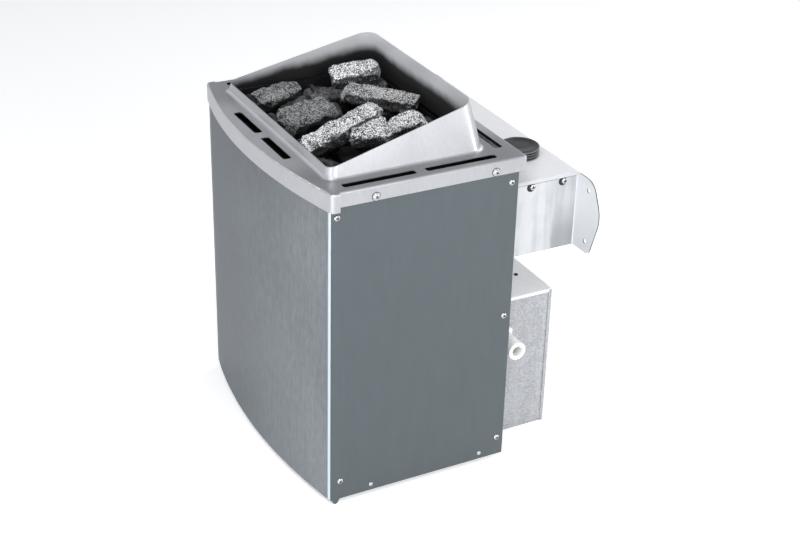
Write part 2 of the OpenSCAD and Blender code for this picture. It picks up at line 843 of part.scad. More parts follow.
module rear_panel() {
    vent_w = 40;
    vent_h = 5;
    vent_rows = 4;
    color("#9a9da1")
        difference() {
            translate([-side_in, rear_out_y - flange_w, tray_floor])
                cube([2 * side_in, flange_w, panel_top - tray_floor]);
            translate([sheet_t - side_in, rear_out_y - flange_w - over, tray_floor - over])
                cube([2 * (side_in - sheet_t), flange_w - sheet_t + over,
                      panel_top - tray_floor + 2 * over]);
            side_holes(side_screw_places, screw_r + screw_gap);
            // steam outlet
            translate([-steam_w / 2, rear_in_y - over, steam_z])
                cube([steam_w, sheet_t + 2 * over, steam_h]);
            // supply inlet
            translate([-gland_x, rear_out_y + over, gland_z])
                rotate([90, 0, 0]) cylinder(r = gland_body_r + screw_gap, h = sheet_t + 2 * over);
            // air slots between the two boxes
            for (s = [-1, 1], k = [0:vent_rows - 1])
                translate([s * evap_x * 0.7, rear_out_y + over, evap_h + 5 * vent_h + 2.4 * k * vent_h])
                    rotate([90, 0, 0])
                        linear_extrude(sheet_t + 2 * over) slot_shape(vent_w, vent_h);
        }
}

module base_tray() {
    color("#a4a7ab")
        difference() {
            translate([0, 0, tray_z])
                linear_extrude(tray_flange)
                    panel_plan(sheet_t + fit_gap, tray_y1);
            translate([0, 0, tray_floor])
                linear_extrude(tray_flange)
                    panel_plan(2 * sheet_t + fit_gap, tray_y1 - sheet_t);
            side_holes(side_screw_places, screw_r + screw_gap);
            side_holes(rivet_places, screw_r + screw_gap);
            // air slots in the floor, either side of the terminal block
            translate([0, 0, tray_z - over])
                linear_extrude(sheet_t + 2 * over)
                    for (s = [-1, 1], k = [0:tray_slot_rows - 1])
                        translate([s * (block_w / 2 + tray_slot_l * 0.7),
                                   element_mid_y + (k - (tray_slot_rows - 1) / 2) * tray_slot_step])
                            slot_shape(tray_slot_l, tray_slot_w);
        }
}

// Upright sheet that carries the chamber, with a foot outwards and a shelf inwards
module chamber_support() {
    y0 = liner_y0 + support_in;
    l = liner_y1 - liner_y0 - 2 * support_in;
    color("#7d8084") {
        translate([liner_x, y0, tray_floor]) cube([support_t, l, liner_z0 + support_lap - tray_floor]);
        translate([liner_x, y0, tray_floor]) cube([support_foot, l, support_t]);
        translate([liner_x - support_shelf, y0, liner_z0 - support_t])
            cube([support_shelf + support_t, l, support_t]);
    }
}

module chamber_support_right() {
    chamber_support();
}

module chamber_support_left() {
    mirror([1, 0, 0]) chamber_support();
}

module chamber_plan(inset) {
    round_rect(inset - liner_x, liner_y0 + inset, liner_x - inset, liner_y1 - inset, liner_r - inset);
}

module stone_chamber() {
    color("#1d1e20")
        translate([0, 0, liner_z0])
            difference() {
                linear_extrude(liner_z1 - liner_z0) chamber_plan(0);
                translate([0, 0, liner_t])
                    linear_extrude(liner_z1 - liner_z0) chamber_plan(liner_t);
                translate([0, 0, -over])
                    linear_extrude(liner_t + 2 * over) chamber_plan(ledge_w);
            }
}

module stone_grate() {
    span_x = chamber_x - fit_gap;
    y0 = chamber_y0 + fit_gap;
    y1 = chamber_y1 - fit_gap;
    z = grate_h - rod_r;
    bar = 2 * rod_r;
    rod_span = leg_x - element_r - rod_r - 2 * fit_gap;
    cross = element_r + 2 * rod_r;
    color("#33353a")
        difference() {
            union() {
                // frame
                for (s = [-1, 1])
                    translate([s * (span_x - rod_r) - rod_r, y0 + liner_r, grate_h - bar])
                        cube([bar, y1 - y0 - 2 * liner_r, bar]);
                for (y = [y0, y1 - bar])
                    translate([liner_r - span_x, y, grate_h - bar])
                        cube([2 * (span_x - liner_r), bar, bar]);
                // rods
                for (k = [0:rod_count - 1])
                    translate([(2 * k / (rod_count - 1) - 1) * rod_span, y1 - rod_r, z])
                        rotate([90, 0, 0]) cylinder(r = rod_r, h = y1 - y0 - bar);
                for (y = [element_ys[0] + cross, element_ys[1] - cross, element_ys[1] + cross,
                          element_ys[2] - cross])
                    translate([-span_x + rod_r, y, z])
                        rotate([0, 90, 0]) cylinder(r = rod_r, h = 2 * (span_x - rod_r));
            }
            for (y = element_ys, s = [-1, 1])
                translate([s * leg_x, y, 0])
                    cylinder(r = element_r + 2 * element_hole_gap, h = body_h);
        }
}

// One bend of an element in the xz plane, its legs pointing down (or up when turned over)
module element_bend_part(x, z, r, turned) {
    translate([x, 0, z])
        rotate([90, 0, 0])
            rotate([0, 0, turned ? 180 : 0])
                rotate_extrude(angle = 180) translate([r, 0]) circle(r = element_r);
}

module heating_element(y) {
    leg_ends = [element_base + leg_xs[0], element_base + low_bend, element_base + low_bend, element_end];
    color("#4b4d50")
        translate([0, y, 0]) {
            element_bend_part(0, leg_ends[0], leg_xs[0], true);
            for (s = [-1, 1]) {
                for (k = [0:3])
                    translate([s * leg_xs[k], 0, leg_ends[k]])
                        cylinder(r = element_r, h = element_top - leg_ends[k]);
                translate([s * leg_x, 0, pin_end]) cylinder(r = pin_r, h = pin_l);
                for (x = [element_in, element_out])
                    element_bend_part(s * x, element_top, element_bend, false);
                element_bend_part(s * (leg_xs[1] + leg_xs[2]) / 2, leg_ends[1], low_bend, true);
            }
        }
}

module heating_element_1() {
    heating_element(element_ys[0]);
}

module heating_element_2() {
    heating_element(element_ys[1]);
}

module heating_element_3() {
    heating_element(element_ys[2]);
}

module element_plate() {
    color("#8c8f93")
        difference() {
            union() {
                translate([-plate_x, plate_y0, plate_h]) cube([2 * plate_x, plate_y1 - plate_y0, plate_t]);
                for (s = [-1, 1])
                    translate([s * (plate_x - plate_t / 2) - plate_t / 2, plate_y0, plate_h - plate_flange])
                        cube([plate_t, plate_y1 - plate_y0, plate_flange]);
            }
            for (y = element_ys, s = [-1, 1])
                translate([s * leg_x, y, plate_h - over])
                    cylinder(r = element_r + element_hole_gap, h = plate_t + 2 * over);
        }
}

module element_nuts() {
    color("#b08d4a")
        for (y = element_ys, s = [-1, 1], z = [plate_h - nut_t, plate_h + plate_t])
            translate([s * leg_x, y, z]) hex_nut(nut_w, nut_t, element_r + element_hole_gap);
}

module bus_bar() {
    z = (element_end + pin_end) / 2;
    color("#c08040")
        difference() {
            translate([leg_x - bus_w / 2, element_ys[0] - bus_w / 2, z])
                cube([bus_w, 2 * element_step + bus_w, bus_t]);
            for (y = element_ys)
                translate([leg_x, y, z - over])
                    cylinder(r = pin_r + element_hole_gap, h = bus_t + 2 * over);
        }
}

module terminal_block() {
    pitch = block_w / block_pole_count;
    color("#e6e2d6")
        difference() {
            union() {
                translate([-block_w / 2, element_mid_y - block_d / 2, tray_floor])
                    cube([block_w, block_d, block_h * 0.6]);
                translate([-block_w / 2, element_mid_y - block_d / 4, tray_floor])
                    cube([block_w, block_d / 2, block_h]);
            }
            for (k = [0:block_pole_count - 1])
                translate([(k - (block_pole_count - 1) / 2) * pitch, element_mid_y, tray_floor + block_h * 0.5])
                    cylinder(r = block_pole_r, h = block_h);
        }
}

module overheat_cutout() {
    color("#d8d8d4")
        translate([plate_x * cutout_x_share, element_mid_y - element_step / 2, plate_h + plate_t]) {
            cylinder(r = cutout_r, h = cutout_h * 0.6);
            cylinder(r = cutout_r * 0.6, h = cutout_h);
            for (s = [-1, 1])
                translate([s * cutout_r * 1.25 - cutout_r * 0.25, -cutout_r * 0.2, 0])
                    cube([cutout_r * 0.5, cutout_r * 0.4, cutout_h * 1.4]);
        }
}

// A flat heat shield with a lip folded out at its foot
module heat_shield_side() {
    color("#a9abad") {
        translate([shield_x - shield_t, shield_y0 + shield_t, tray_floor])
            cube([shield_t, shield_y1 - shield_y0 - 2 * shield_t, shield_top - tray_floor]);
        translate([shield_x - shield_t, shield_y0 + shield_t, tray_floor])
            cube([shield_lip, shield_y1 - shield_y0 - 2 * shield_t, shield_t]);
    }
}

module heat_shield_right() {
    heat_shield_side();
}

module heat_shield_left() {
    mirror([1, 0, 0]) heat_shield_side();
}

module heat_shield_front() {
    color("#a9abad") {
        translate([-shield_x, shield_y0, tray_floor])
            cube([2 * shield_x, shield_t, shield_top - tray_floor]);
        translate([2 * shield_t - shield_x, shield_y0, tray_floor])
            cube([2 * shield_x - 4 * shield_t, shield_lip, shield_t]);
    }
}

module heat_shield_rear() {
    color("#a9abad")
        translate([-shield_x, shield_y1 - shield_t, tray_floor])
            cube([2 * shield_x, shield_t, shield_top - tray_floor]);
}

// An angular stone: the hull of three crossed blocks, turned a little by its seed
module stone(size, seed) {
    turn = rands(-stone_angle, stone_angle, 6, seed);
    hull() {
        cube([size[0], size[1] * stone_slim_share, size[2] * stone_slim_share], center = true);
        rotate([turn[0], turn[1], turn[2]])
            cube([size[0] * stone_slim_share, size[1], size[2] * stone_slim_share], center = true);
        rotate([turn[3], turn[4], turn[5]])
            cube([size[0] * stone_slim_share, size[1] * stone_slim_share, size[2]], center = true);
    }
}

// A simpler one for the stones that lie underneath
module plain_stone(size, seed) {
    turn = rands(-stone_angle, stone_angle, 3, seed);
    hull() {
        cube([size[0], size[1] * stone_slim_share, size[2] * stone_slim_share], center = true);
        rotate(turn) cube([size[0] * stone_slim_share, size[1], size[2]], center = true);
    }
}

module stones_lower() {
    cell_x = 2 * chamber_x / stone_columns;
    cell_z = (stack_top - grate_h) / stone_layers;
    color("#55585c")
        for (i = [0:stone_columns - 1], j = [0:row_count - 1], k = [0:stone_layers - 1]) {
            y0 = element_ys[0] + j * row_d + (j % 2 == 0 ? element_room : stone_gap);
            y1 = element_ys[0] + (j + 1) * row_d - (j % 2 == 1 ? element_room : 0);
            x0 = -chamber_x + i * cell_x + stone_gap;
            z0 = grate_h + k * cell_z + stone_gap;
            size = [cell_x - 2 * stone_gap, y1 - y0, cell_z - stone_gap];
            intersection() {
                translate([x0, y0, z0]) cube(size);
                translate([x0 + size[0] / 2, y0 + size[1] / 2, z0 + size[2] / 2])
                    plain_stone(size, i + stone_columns * (j + row_count * k));
            }
        }
}

module visible_stone(n, grow) {
    s = visible_stone_shares[n];
    u = stone_unit;
    translate([s[0] * u, element_mid_y + s[1] * u, stone_origin_z + s[2] * u])
        rotate([0, 0, s[6]]) rotate([0, s[7], 0]) rotate([s[8], 0, 0])
            stone([s[3] * u + grow, s[4] * u + grow, s[5] * u + grow], s[9]);
}

// The visible stones: each gives way to those before it in the list, to the stack and to the elements
module stones_top() {
    margin = 2 * stone_gap;
    color("#8b8e92")
        for (n = [0:len(visible_stone_shares) - 1])
            difference() {
                intersection() {
                    visible_stone(n, 0);
                    translate([0, 0, stack_top + stone_gap])
                        linear_extrude(body_h) chamber_plan(liner_t + margin, $fn = corner_fn);
                }
                if (n > 0) for (m = [0:n - 1]) visible_stone(m, margin);
                element_room_above();
            }
}

// Room round the elements' upper bends among the visible stones
module element_room_above() {
    w = element_bend + element_room;
    for (y = element_ys, x = [-element_out, -element_in, element_in, element_out])
        translate([x, y, element_top]) {
            rotate([90, 0, 0])
                cylinder(r = w / cos(180 / corner_fn), h = 2 * element_room, center = true, $fn = corner_fn);
            translate([-w, -element_room, stack_top - element_top - stone_gap])
                cube([2 * w, 2 * element_room, element_top - stack_top + 2 * stone_gap]);
        }
}

// Outline of a wing on the wall, as x from the side plate and z from the wing's middle
module wing_shape() {
    half = bracket_h / 2;
    wing_lift = (wing_r - wing_low_r) / 2;
    hull() {
        translate([-bracket_t, -half]) square([2 * bracket_t, 2 * half]);
        translate([wing_w - wing_mid_r, wing_lift]) circle(r = wing_mid_r);
        translate([wing_w * wing_top_share - wing_r, half - wing_r]) circle(r = wing_r);
        translate([wing_w * wing_low_share - wing_low_r, wing_low_r - half]) circle(r = wing_low_r);
    }
}

module bracket_side() {
    color("#e4e6e9")
        difference() {
            union() {
                translate([bracket_x - bracket_t, bracket_y0, bracket_z])
                    cube([bracket_t, bracket_y1 - bracket_y0, bracket_h]);
                // flange on the rear panel
                translate([bracket_x - bracket_flange, bracket_y0, bracket_z])
                    cube([bracket_flange, bracket_t, bracket_h]);
                // shelf under the tank
                translate([bracket_x - bracket_shelf, bracket_y0, bracket_z])
                    cube([bracket_shelf, bracket_y1 - bracket_y0 - tank_back, bracket_t]);
                // wing on the wall
                translate([bracket_x, bracket_y1, wing_z])
                    rotate([90, 0, 0]) linear_extrude(bracket_t) wing_shape();
            }
            for (s = [-1, 1])
                translate([bracket_x + wall_hole_out, bracket_y1 + over, wing_z + s * wall_hole_step / 2])
                    rotate([90, 0, 0]) cylinder(r = wall_hole_r, h = bracket_t + 2 * over);
            bracket_screw_holes();
        }
}

bracket_screw_places = [
    [y_rear + bracket_screw_front, bracket_top - bracket_screw_drop],
    [y_wall - bracket_screw_back, bracket_top - bracket_screw_drop]
];

module bracket_screw_holes() {
    for (p = bracket_screw_places)
        translate([bracket_x - 2 * screw_l, p[0], p[1]])
            rotate([0, 90, 0]) cylinder(r = screw_r + screw_gap, h = 3 * screw_l);
}

module bracket_right() {
    bracket_side();
}

module bracket_left() {
    mirror([1, 0, 0]) bracket_side();
}

module bracket_cover() {
    color("#eceef0")
        difference() {
            translate([-cover_x, cover_y0, cover_top - cover_lip])
                cube([2 * cover_x, y_wall - bracket_t - fit_gap - cover_y0, cover_lip]);
            translate([cover_t - cover_x, cover_y0 - over, cover_top - cover_lip - over])
                cube([2 * (cover_x - cover_t), y_wall, cover_lip - cover_t + over]);
            translate([cap_x, cap_y, cover_top - cover_t - over])
                cylinder(r = cover_hole_r, h = cover_t + 2 * over);
        }
}

module bracket_screws() {
    color("#c9cbd0")
        both_sides()
            for (p = bracket_screw_places)
                translate([bracket_x, p[0], p[1]])
                    rotate([0, 90, 0]) screw(screw_head_r, screw_head_h, screw_r, screw_l);
}

module water_tank() {
    color("#c4c7ca")
        difference() {
            translate([-tank_x, tank_y0, tank_z0]) cube([2 * tank_x, tank_y1 - tank_y0, tank_z1 - tank_z0]);
            translate([tank_t - tank_x, tank_y0 + tank_t, tank_z0 + tank_t])
                cube([2 * (tank_x - tank_t), tank_y1 - tank_y0 - 2 * tank_t, tank_z1 - tank_z0 - 2 * tank_t]);
            translate([cap_x, cap_y, tank_z1 - tank_t - over])
                cylinder(r = neck_in_r, h = tank_t + 2 * over);
            translate([0, feed_y, tank_z0 - over]) cylinder(r = feed_bore_r, h = tank_t + 2 * over);
            both_sides() bracket_screw_holes();
        }
}

module filler_neck() {
    color("#b9bcc0")
        translate([cap_x, cap_y, 0])
            difference() {
                union() {
                    translate([0, 0, tank_z1]) cylinder(r = neck_flange_r, h = neck_flange_t);
                    translate([0, 0, tank_z1]) cylinder(r = neck_r, h = neck_top - tank_z1);
                }
                translate([0, 0, tank_z1 - over]) cylinder(r = neck_in_r, h = body_h);
            }
}

// The cap: a turned shell with two grooves round it, a dished top and a grip bar across the dish
module filler_cap() {
    band = cap_h / (2 * groove_count + 1);
    color("#232427")
        translate([cap_x, cap_y, cap_z0]) {
            difference() {
                cylinder(r = cap_r, h = cap_h);
                translate([0, 0, -over]) cylinder(r = cap_in_r, h = cap_h - cap_t + over);
                translate([0, 0, cap_h - cap_dish]) cylinder(r = cap_dish_r, h = cap_dish + over);
                for (k = [0:groove_count - 1])
                    translate([0, 0, (2 * k + 1) * band])
                        difference() {
                            cylinder(r = cap_r + over, h = band);
                            cylinder(r = cap_r - cap_groove, h = band);
                        }
            }
            intersection() {
                translate([-cap_dish_r, -cap_grip_w / 2, cap_h - cap_t / 2])
                    cube([2 * cap_dish_r, cap_grip_w, cap_t / 2]);
                cylinder(r = cap_dish_r, h = cap_h);
            }
        }
}

module cap_seal() {
    color("#3a3b3e")
        translate([cap_x, cap_y, neck_top + seal_gap])
            difference() {
                cylinder(r = neck_r, h = seal_t);
                translate([0, 0, -over]) cylinder(r = neck_in_r - neck_t / 2, h = seal_t + 2 * over);
            }
}

module feed_pipe() {
    l = tank_z0 - evap_h;
    color("#b7babd")
        translate([0, feed_y, evap_h])
            difference() {
                union() {
                    cylinder(r = feed_r, h = l);
                    cylinder(r = feed_collar_r, h = feed_collar_h);
                    translate([0, 0, l - feed_collar_h]) cylinder(r = feed_collar_r, h = feed_collar_h);
                }
                translate([0, 0, -over]) cylinder(r = feed_bore_r, h = l + 2 * over);
            }
}

module steam_duct() {
    color("#9fa2a6")
        difference() {
            translate([-duct_x, duct_y0, duct_z0]) cube([2 * duct_x, duct_d, duct_top - duct_z0]);
            translate([shield_t - duct_x, duct_y0 + shield_t, duct_z0 + shield_t])
                cube([2 * (duct_x - shield_t), duct_d - 2 * shield_t, duct_top - duct_z0]);
            translate([-steam_w / 2, duct_y0 + shield_t, steam_z])
                cube([steam_w, duct_d, steam_h]);
        }
}

module evaporator_shell() {
    depth = evap_y1 - evap_t - evap_y0;
    color("#b4b7ba")
        difference() {
            translate([-evap_x, evap_y0, 0]) cube([evap_w, depth, evap_h - evap_t]);
            difference() {
                translate([evap_t - evap_x, evap_y0 + evap_t, evap_t])
                    cube([evap_w - 2 * evap_t, depth, evap_h]);
                // rails that the back cover and the lid are screwed to
                for (s = [-1, 1])
                    translate([s * (evap_x - evap_rail / 2) - evap_rail / 2, evap_y0 + depth - evap_t, 0])
                        cube([evap_rail, evap_t, evap_h]);
                translate([-evap_x, evap_y0 + depth - evap_top_rail, evap_h - 2 * evap_t])
                    cube([evap_w, evap_top_rail, 2 * evap_t]);
            }
            evaporator_screw_holes();
            translate([-steam_w / 2, evap_y0 - over, steam_z]) cube([steam_w, evap_t + 2 * over, steam_h]);
            translate([0, pipe_y, pipe_z])
                rotate([0, 90, 0]) cylinder(r = pipe_thread_r + pipe_gap, h = side_out);
        }
}

module evaporator_lid() {
    y0 = evap_y0;
    y1 = evap_y1;
    color("#dfe1e3")
        difference() {
            union() {
                translate([-evap_cover_x, y0, evap_h - evap_t]) cube([2 * evap_cover_x, y1 - y0, evap_t]);
                for (s = [-1, 1])
                    translate([s * (evap_cover_x - evap_t / 2) - evap_t / 2, y0, evap_h - evap_lip])
                        cube([evap_t, y1 - y0 - evap_lip - fit_gap, evap_lip]);
            }
            translate([0, feed_y, evap_h - evap_t - over]) cylinder(r = feed_bore_r, h = evap_t + 2 * over);
            evaporator_screw_holes();
        }
}

module evaporator_back() {
    top = evap_h - evap_t;
    color("#b0b3b6")
        difference() {
            union() {
                translate([-evap_cover_x, evap_y1 - evap_t, 0]) cube([2 * evap_cover_x, evap_t, top]);
                for (s = [-1, 1])
                    translate([s * (evap_cover_x - evap_t / 2) - evap_t / 2, evap_y1 - evap_lip, 0])
                        cube([evap_t, evap_lip, top]);
            }
            evaporator_screw_holes();
        }
}

module evaporator_screw_holes() {
    r = evap_screw_r + screw_gap;
    for (s = [-1, 1], z = evap_screw_zs)
        translate([s * (evap_x - evap_screw_in), evap_y1 + over, z])
            rotate([90, 0, 0]) cylinder(r = r, h = evap_screw_l + 2 * over);
    translate([lid_screw_x, evap_y1 - lid_screw_y, evap_h - evap_screw_l - over])
        cylinder(r = r, h = evap_screw_l + 2 * over);
}

module evaporator_screws() {
    color("#3c3d40") {
        for (s = [-1, 1], z = evap_screw_zs)
            translate([s * (evap_x - evap_screw_in), evap_y1, z])
                rotate([-90, 0, 0])
                    screw(evap_screw_head_r, evap_screw_head_h, evap_screw_r, evap_screw_l);
        translate([lid_screw_x, evap_y1 - lid_screw_y, evap_h])
            screw(evap_screw_head_r, evap_screw_head_h, evap_screw_r, evap_screw_l);
    }
}

module evaporator_tank() {
    color("#c4c7ca")
        difference() {
            translate([-evap_tank_x, evap_tank_y0, evap_t])
                cube([2 * evap_tank_x, evap_tank_y1 - evap_tank_y0, evap_tank_h]);
            translate([tank_t - evap_tank_x, evap_tank_y0 + tank_t, evap_t + tank_t])
                cube([2 * (evap_tank_x - tank_t), evap_tank_y1 - evap_tank_y0 - 2 * tank_t, evap_tank_h]);
            translate([0, pipe_y, pipe_z])
                rotate([0, 90, 0]) cylinder(r = pipe_thread_r + pipe_gap, h = side_out);
            for (s = [-1, 1])
                translate([-evap_x, evap_element_y + s * evap_loop_r, evap_element_z])
                    rotate([0, 90, 0]) cylinder(r = element_r + element_hole_gap, h = evap_x);
        }
}

module evaporator_element() {
    bend_x = evap_tank_x * evap_loop_share;
    start = -evap_tank_x - evap_flange_t;
    color("#55575a") {
        for (s = [-1, 1])
            translate([start - 2 * evap_flange_t, evap_element_y + s * evap_loop_r, evap_element_z])
                rotate([0, 90, 0]) cylinder(r = element_r, h = bend_x - start + 2 * evap_flange_t);
        translate([bend_x, evap_element_y, evap_element_z])
            rotate([0, 0, -90])
                rotate_extrude(angle = 180) translate([evap_loop_r, 0]) circle(r = element_r);
        translate([start, evap_element_y - evap_flange_w / 2, evap_element_z - evap_flange_h / 2])
            cube([evap_flange_t, evap_flange_w, evap_flange_h]);
    }
}

module overflow_pipe() {
    thread_end = evap_x + overflow_nut_t;
    color("#f2f2f0")
        translate([pipe_start, pipe_y, pipe_z])
            rotate([0, 90, 0])
                difference() {
                    union() {
                        cylinder(r = pipe_thread_r, h = thread_end - pipe_start);
                        translate([0, 0, thread_end - pipe_start])
                            cylinder(r = pipe_r, h = pipe_end - thread_end);
                    }
                    translate([0, 0, -over]) cylinder(r = pipe_r - pipe_t, h = pipe_end);
                }
}

module overflow_nut() {
    color("#e6e6e4")
        translate([evap_x, pipe_y, pipe_z])
            rotate([0, 90, 0]) hex_nut(overflow_nut_w, overflow_nut_t, pipe_thread_r + pipe_gap);
}

// The gland stands out of the rear panel towards the wall, with a through bore for the supply cable
module cable_gland() {
    color("#2b2c2f")
        translate([-gland_x, rear_out_y, gland_z])
            rotate([-90, 0, 0])
                difference() {
                    union() {
                        cylinder(r = gland_flange_w / sqrt(3), h = gland_flange_t, $fn = 6);
                        cylinder(r = gland_body_r, h = gland_flange_t + gland_dome_l * 0.6);
                        translate([0, 0, gland_flange_t + gland_dome_l * 0.6])
                            cylinder(r1 = gland_body_r, r2 = gland_bore_r + gland_lip, h = gland_dome_l * 0.4);
                        translate([0, 0, -gland_inside]) cylinder(r = gland_body_r, h = gland_inside);
                    }
                    translate([0, 0, -gland_inside - over])
                        cylinder(r = gland_bore_r, h = gland_inside + gland_flange_t + gland_dome_l + 2 * over);
                }
}

module gland_nut() {
    color("#2b2c2f")
        translate([-gland_x, rear_in_y - gland_nut_t, gland_z])
            rotate([-90, 0, 0]) hex_nut(gland_flange_w, gland_nut_t, gland_body_r + screw_gap);
}

top_frame();
frame_screws();
front_panel();
side_panel_left();
side_panel_right();
side_panel_screws();
panel_rivets();
rear_panel();
base_tray();
chamber_support_left();
chamber_support_right();
stone_chamber();
stone_grate();
heating_element_1();
heating_element_2();
heating_element_3();
element_plate();
element_nuts();
bus_bar();
terminal_block();
overheat_cutout();
heat_shield_front();
heat_shield_rear();
heat_shield_left();
heat_shield_right();
stones_lower();
stones_top();
bracket_left();
bracket_right();
bracket_cover();
bracket_screws();
water_tank();
filler_neck();
filler_cap();
cap_seal();
feed_pipe();
steam_duct();
evaporator_shell();
evaporator_lid();
evaporator_back();
evaporator_screws();
evaporator_tank();
evaporator_element();
overflow_pipe();
overflow_nut();
cable_gland();
gland_nut();
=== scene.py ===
import math
import random
import bpy
import bmesh
from mathutils import Matrix, Vector, noise


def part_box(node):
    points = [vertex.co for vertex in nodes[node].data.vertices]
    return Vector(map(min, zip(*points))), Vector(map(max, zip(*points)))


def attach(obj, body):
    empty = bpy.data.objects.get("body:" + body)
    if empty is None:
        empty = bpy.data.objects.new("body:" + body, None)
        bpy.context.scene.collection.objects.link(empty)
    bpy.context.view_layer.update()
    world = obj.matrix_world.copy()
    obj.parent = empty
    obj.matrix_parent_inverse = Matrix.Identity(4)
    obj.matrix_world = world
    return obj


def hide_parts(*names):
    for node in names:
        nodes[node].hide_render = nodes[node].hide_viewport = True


# Sauna heater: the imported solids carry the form, this file gives them their looks
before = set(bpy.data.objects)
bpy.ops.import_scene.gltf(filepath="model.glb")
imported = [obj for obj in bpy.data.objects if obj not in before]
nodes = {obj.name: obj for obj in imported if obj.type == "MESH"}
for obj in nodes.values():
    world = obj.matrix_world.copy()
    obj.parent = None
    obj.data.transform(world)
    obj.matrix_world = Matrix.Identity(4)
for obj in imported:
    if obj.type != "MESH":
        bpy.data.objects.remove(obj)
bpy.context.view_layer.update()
scene = bpy.context.scene
print("stage: frame loaded,", len(nodes), "nodes")


def addObject(name, data):
    obj = bpy.data.objects.new(name, data)
    scene.collection.objects.link(obj)
    return obj


# The photograph's camera, fitted to the casing's corners
photoCamera = {
    "place": (1.7399, -0.9027, 1.2633),
    "azimuth": 61.74,      # degrees round from the front
    "elevation": 27.86,
    "roll": 1.47,
    "lens": 70.65,         # in mm, for a picture of 800 x 533
    "sensor": 36,
    "clip": (0.05, 60),
}


def placeCamera(c):
    a, e, r = (math.radians(c[k]) for k in ("azimuth", "elevation", "roll"))
    ahead = Vector((-math.sin(a) * math.cos(e), math.cos(a) * math.cos(e), -math.sin(e)))
    level = Vector((math.cos(a), math.sin(a), 0))
    raised = level.cross(ahead)
    right = level * math.cos(r) + raised * math.sin(r)
    up = raised * math.cos(r) - level * math.sin(r)
    data = bpy.data.cameras.new("photoCamera")
    data.sensor_width, data.lens = c["sensor"], c["lens"]
    data.clip_start, data.clip_end = c["clip"]
    cam = addObject("photoCamera", data)
    turn = Matrix((right, up, -ahead)).transposed().to_4x4()
    cam.matrix_world = Matrix.Translation(c["place"]) @ turn
    scene.camera = cam


placeCamera(photoCamera)

# White studio: floor, sky and softboxes
studio = {
    "floorSize": 14.0, "floorDrop": 0.0004, "floorRough": 0.9,
    "floorColour": (0.93, 0.93, 0.93, 1),
    "floorGlow": 0.10,
    "floorSeen": 0.30,     # more glow for the camera alone, so the floor is white like the backdrop
    "backdrop": (1.0, 1.0, 1.0, 1),
    "skyHigh": (0.29, 0.295, 0.31, 1),     # above and behind, which the flat plate mirrors
    "skyLow": (0.95, 0.96, 0.97, 1),
    "skyBand": (0.08, 0.45), "skyPower": 1.0,
    "lamps": [
        # place, aim, size, power, colour
        ((1.0, -1.0, 2.5), (0, 0, 0.4), 1.4, 28, (1, 1, 1)),
        ((1.25, -1.75, 0.40), (0.1, -0.1, 0.3), 0.8, 14, (0.92, 0.97, 1)),
        ((2.1, 0.08, 1.1), (0.15, 0.1, 0.35), 0.9, 13, (1, 1, 1)),
        ((0.95, 1.25, 0.75), (0.12, 0.16, 0.27), 0.5, 5, (1, 1, 1)),
        ((-1.6, -1.6, 2.0), (0, 0, 0.3), 1.6, 3.5, (0.97, 0.98, 1)),
        ((-0.6, 1.9, 1.6), (0, 0.1, 0.3), 1.4, 12, (1, 1, 1)),
    ],
}


def makeStudio(s):
    scene.view_settings.view_transform = "Standard"
    world = bpy.data.worlds.new("studio")
    world.use_nodes = True
    tree = world.node_tree
    tree.nodes.clear()
    where = tree.nodes.new("ShaderNodeTexCoord")
    split = tree.nodes.new("ShaderNodeSeparateXYZ")
    ramp = tree.nodes.new("ShaderNodeValToRGB")
    for spot, at, colour in zip(ramp.color_ramp.elements, s["skyBand"], (s["skyLow"], s["skyHigh"])):
        spot.position, spot.color = at, colour
    back = tree.nodes.new("ShaderNodeBackground")
    back.inputs["Strength"].default_value = s["skyPower"]
    out = tree.nodes.new("ShaderNodeOutputWorld")
    tree.links.new(where.outputs["Generated"], split.inputs[0])
    tree.links.new(split.outputs["Z"], ramp.inputs[0])
    seen = tree.nodes.new("ShaderNodeBackground")
    seen.inputs["Color"].default_value = s["backdrop"]
    ray = tree.nodes.new("ShaderNodeLightPath")
    pick = tree.nodes.new("ShaderNodeMixShader")
    tree.links.new(ramp.outputs[0], back.inputs["Color"])
    tree.links.new(ray.outputs["Is Camera Ray"], pick.inputs[0])
    tree.links.new(back.outputs[0], pick.inputs[1])
    tree.links.new(seen.outputs[0], pick.inputs[2])
    tree.links.new(pick.outputs[0], out.inputs["Surface"])
    scene.world = world
    bpy.ops.mesh.primitive_plane_add(size=s["floorSize"], location=(0, 0, -s["floorDrop"]))
    floor = bpy.context.active_object
    floor.name = "studioFloor"
    mat = bpy.data.materials.new("studioFloor")
    mat.use_nodes = True
    shader = mat.node_tree.nodes["Principled BSDF"]
    shader.inputs["Base Color"].default_value = s["floorColour"]
    shader.inputs["Roughness"].default_value = s["floorRough"]
    shader.inputs["Emission Color"].default_value = s["floorColour"]
    look = mat.node_tree.nodes.new("ShaderNodeLightPath")
    glow = mat.node_tree.nodes.new("ShaderNodeMath")
    glow.operation = "MULTIPLY_ADD"
    glow.inputs[1].default_value, glow.inputs[2].default_value = s["floorSeen"], s["floorGlow"]
    mat.node_tree.links.new(look.outputs["Is Camera Ray"], glow.inputs[0])
    mat.node_tree.links.new(glow.outputs[0], shader.inputs["Emission Strength"])
    floor.data.materials.append(mat)
    for n, (place, aim, size, power, colour) in enumerate(s["lamps"]):
        lamp = bpy.data.lights.new("softbox%d" % n, "AREA")
        lamp.size, lamp.energy, lamp.color = size, power, colour
        obj = addObject("softbox%d" % n, lamp)
        obj.location = place
        obj.rotation_euler = (Vector(aim) - Vector(place)).to_track_quat("-Z", "Y").to_euler()


makeStudio(studio)
print("stage: camera and studio")

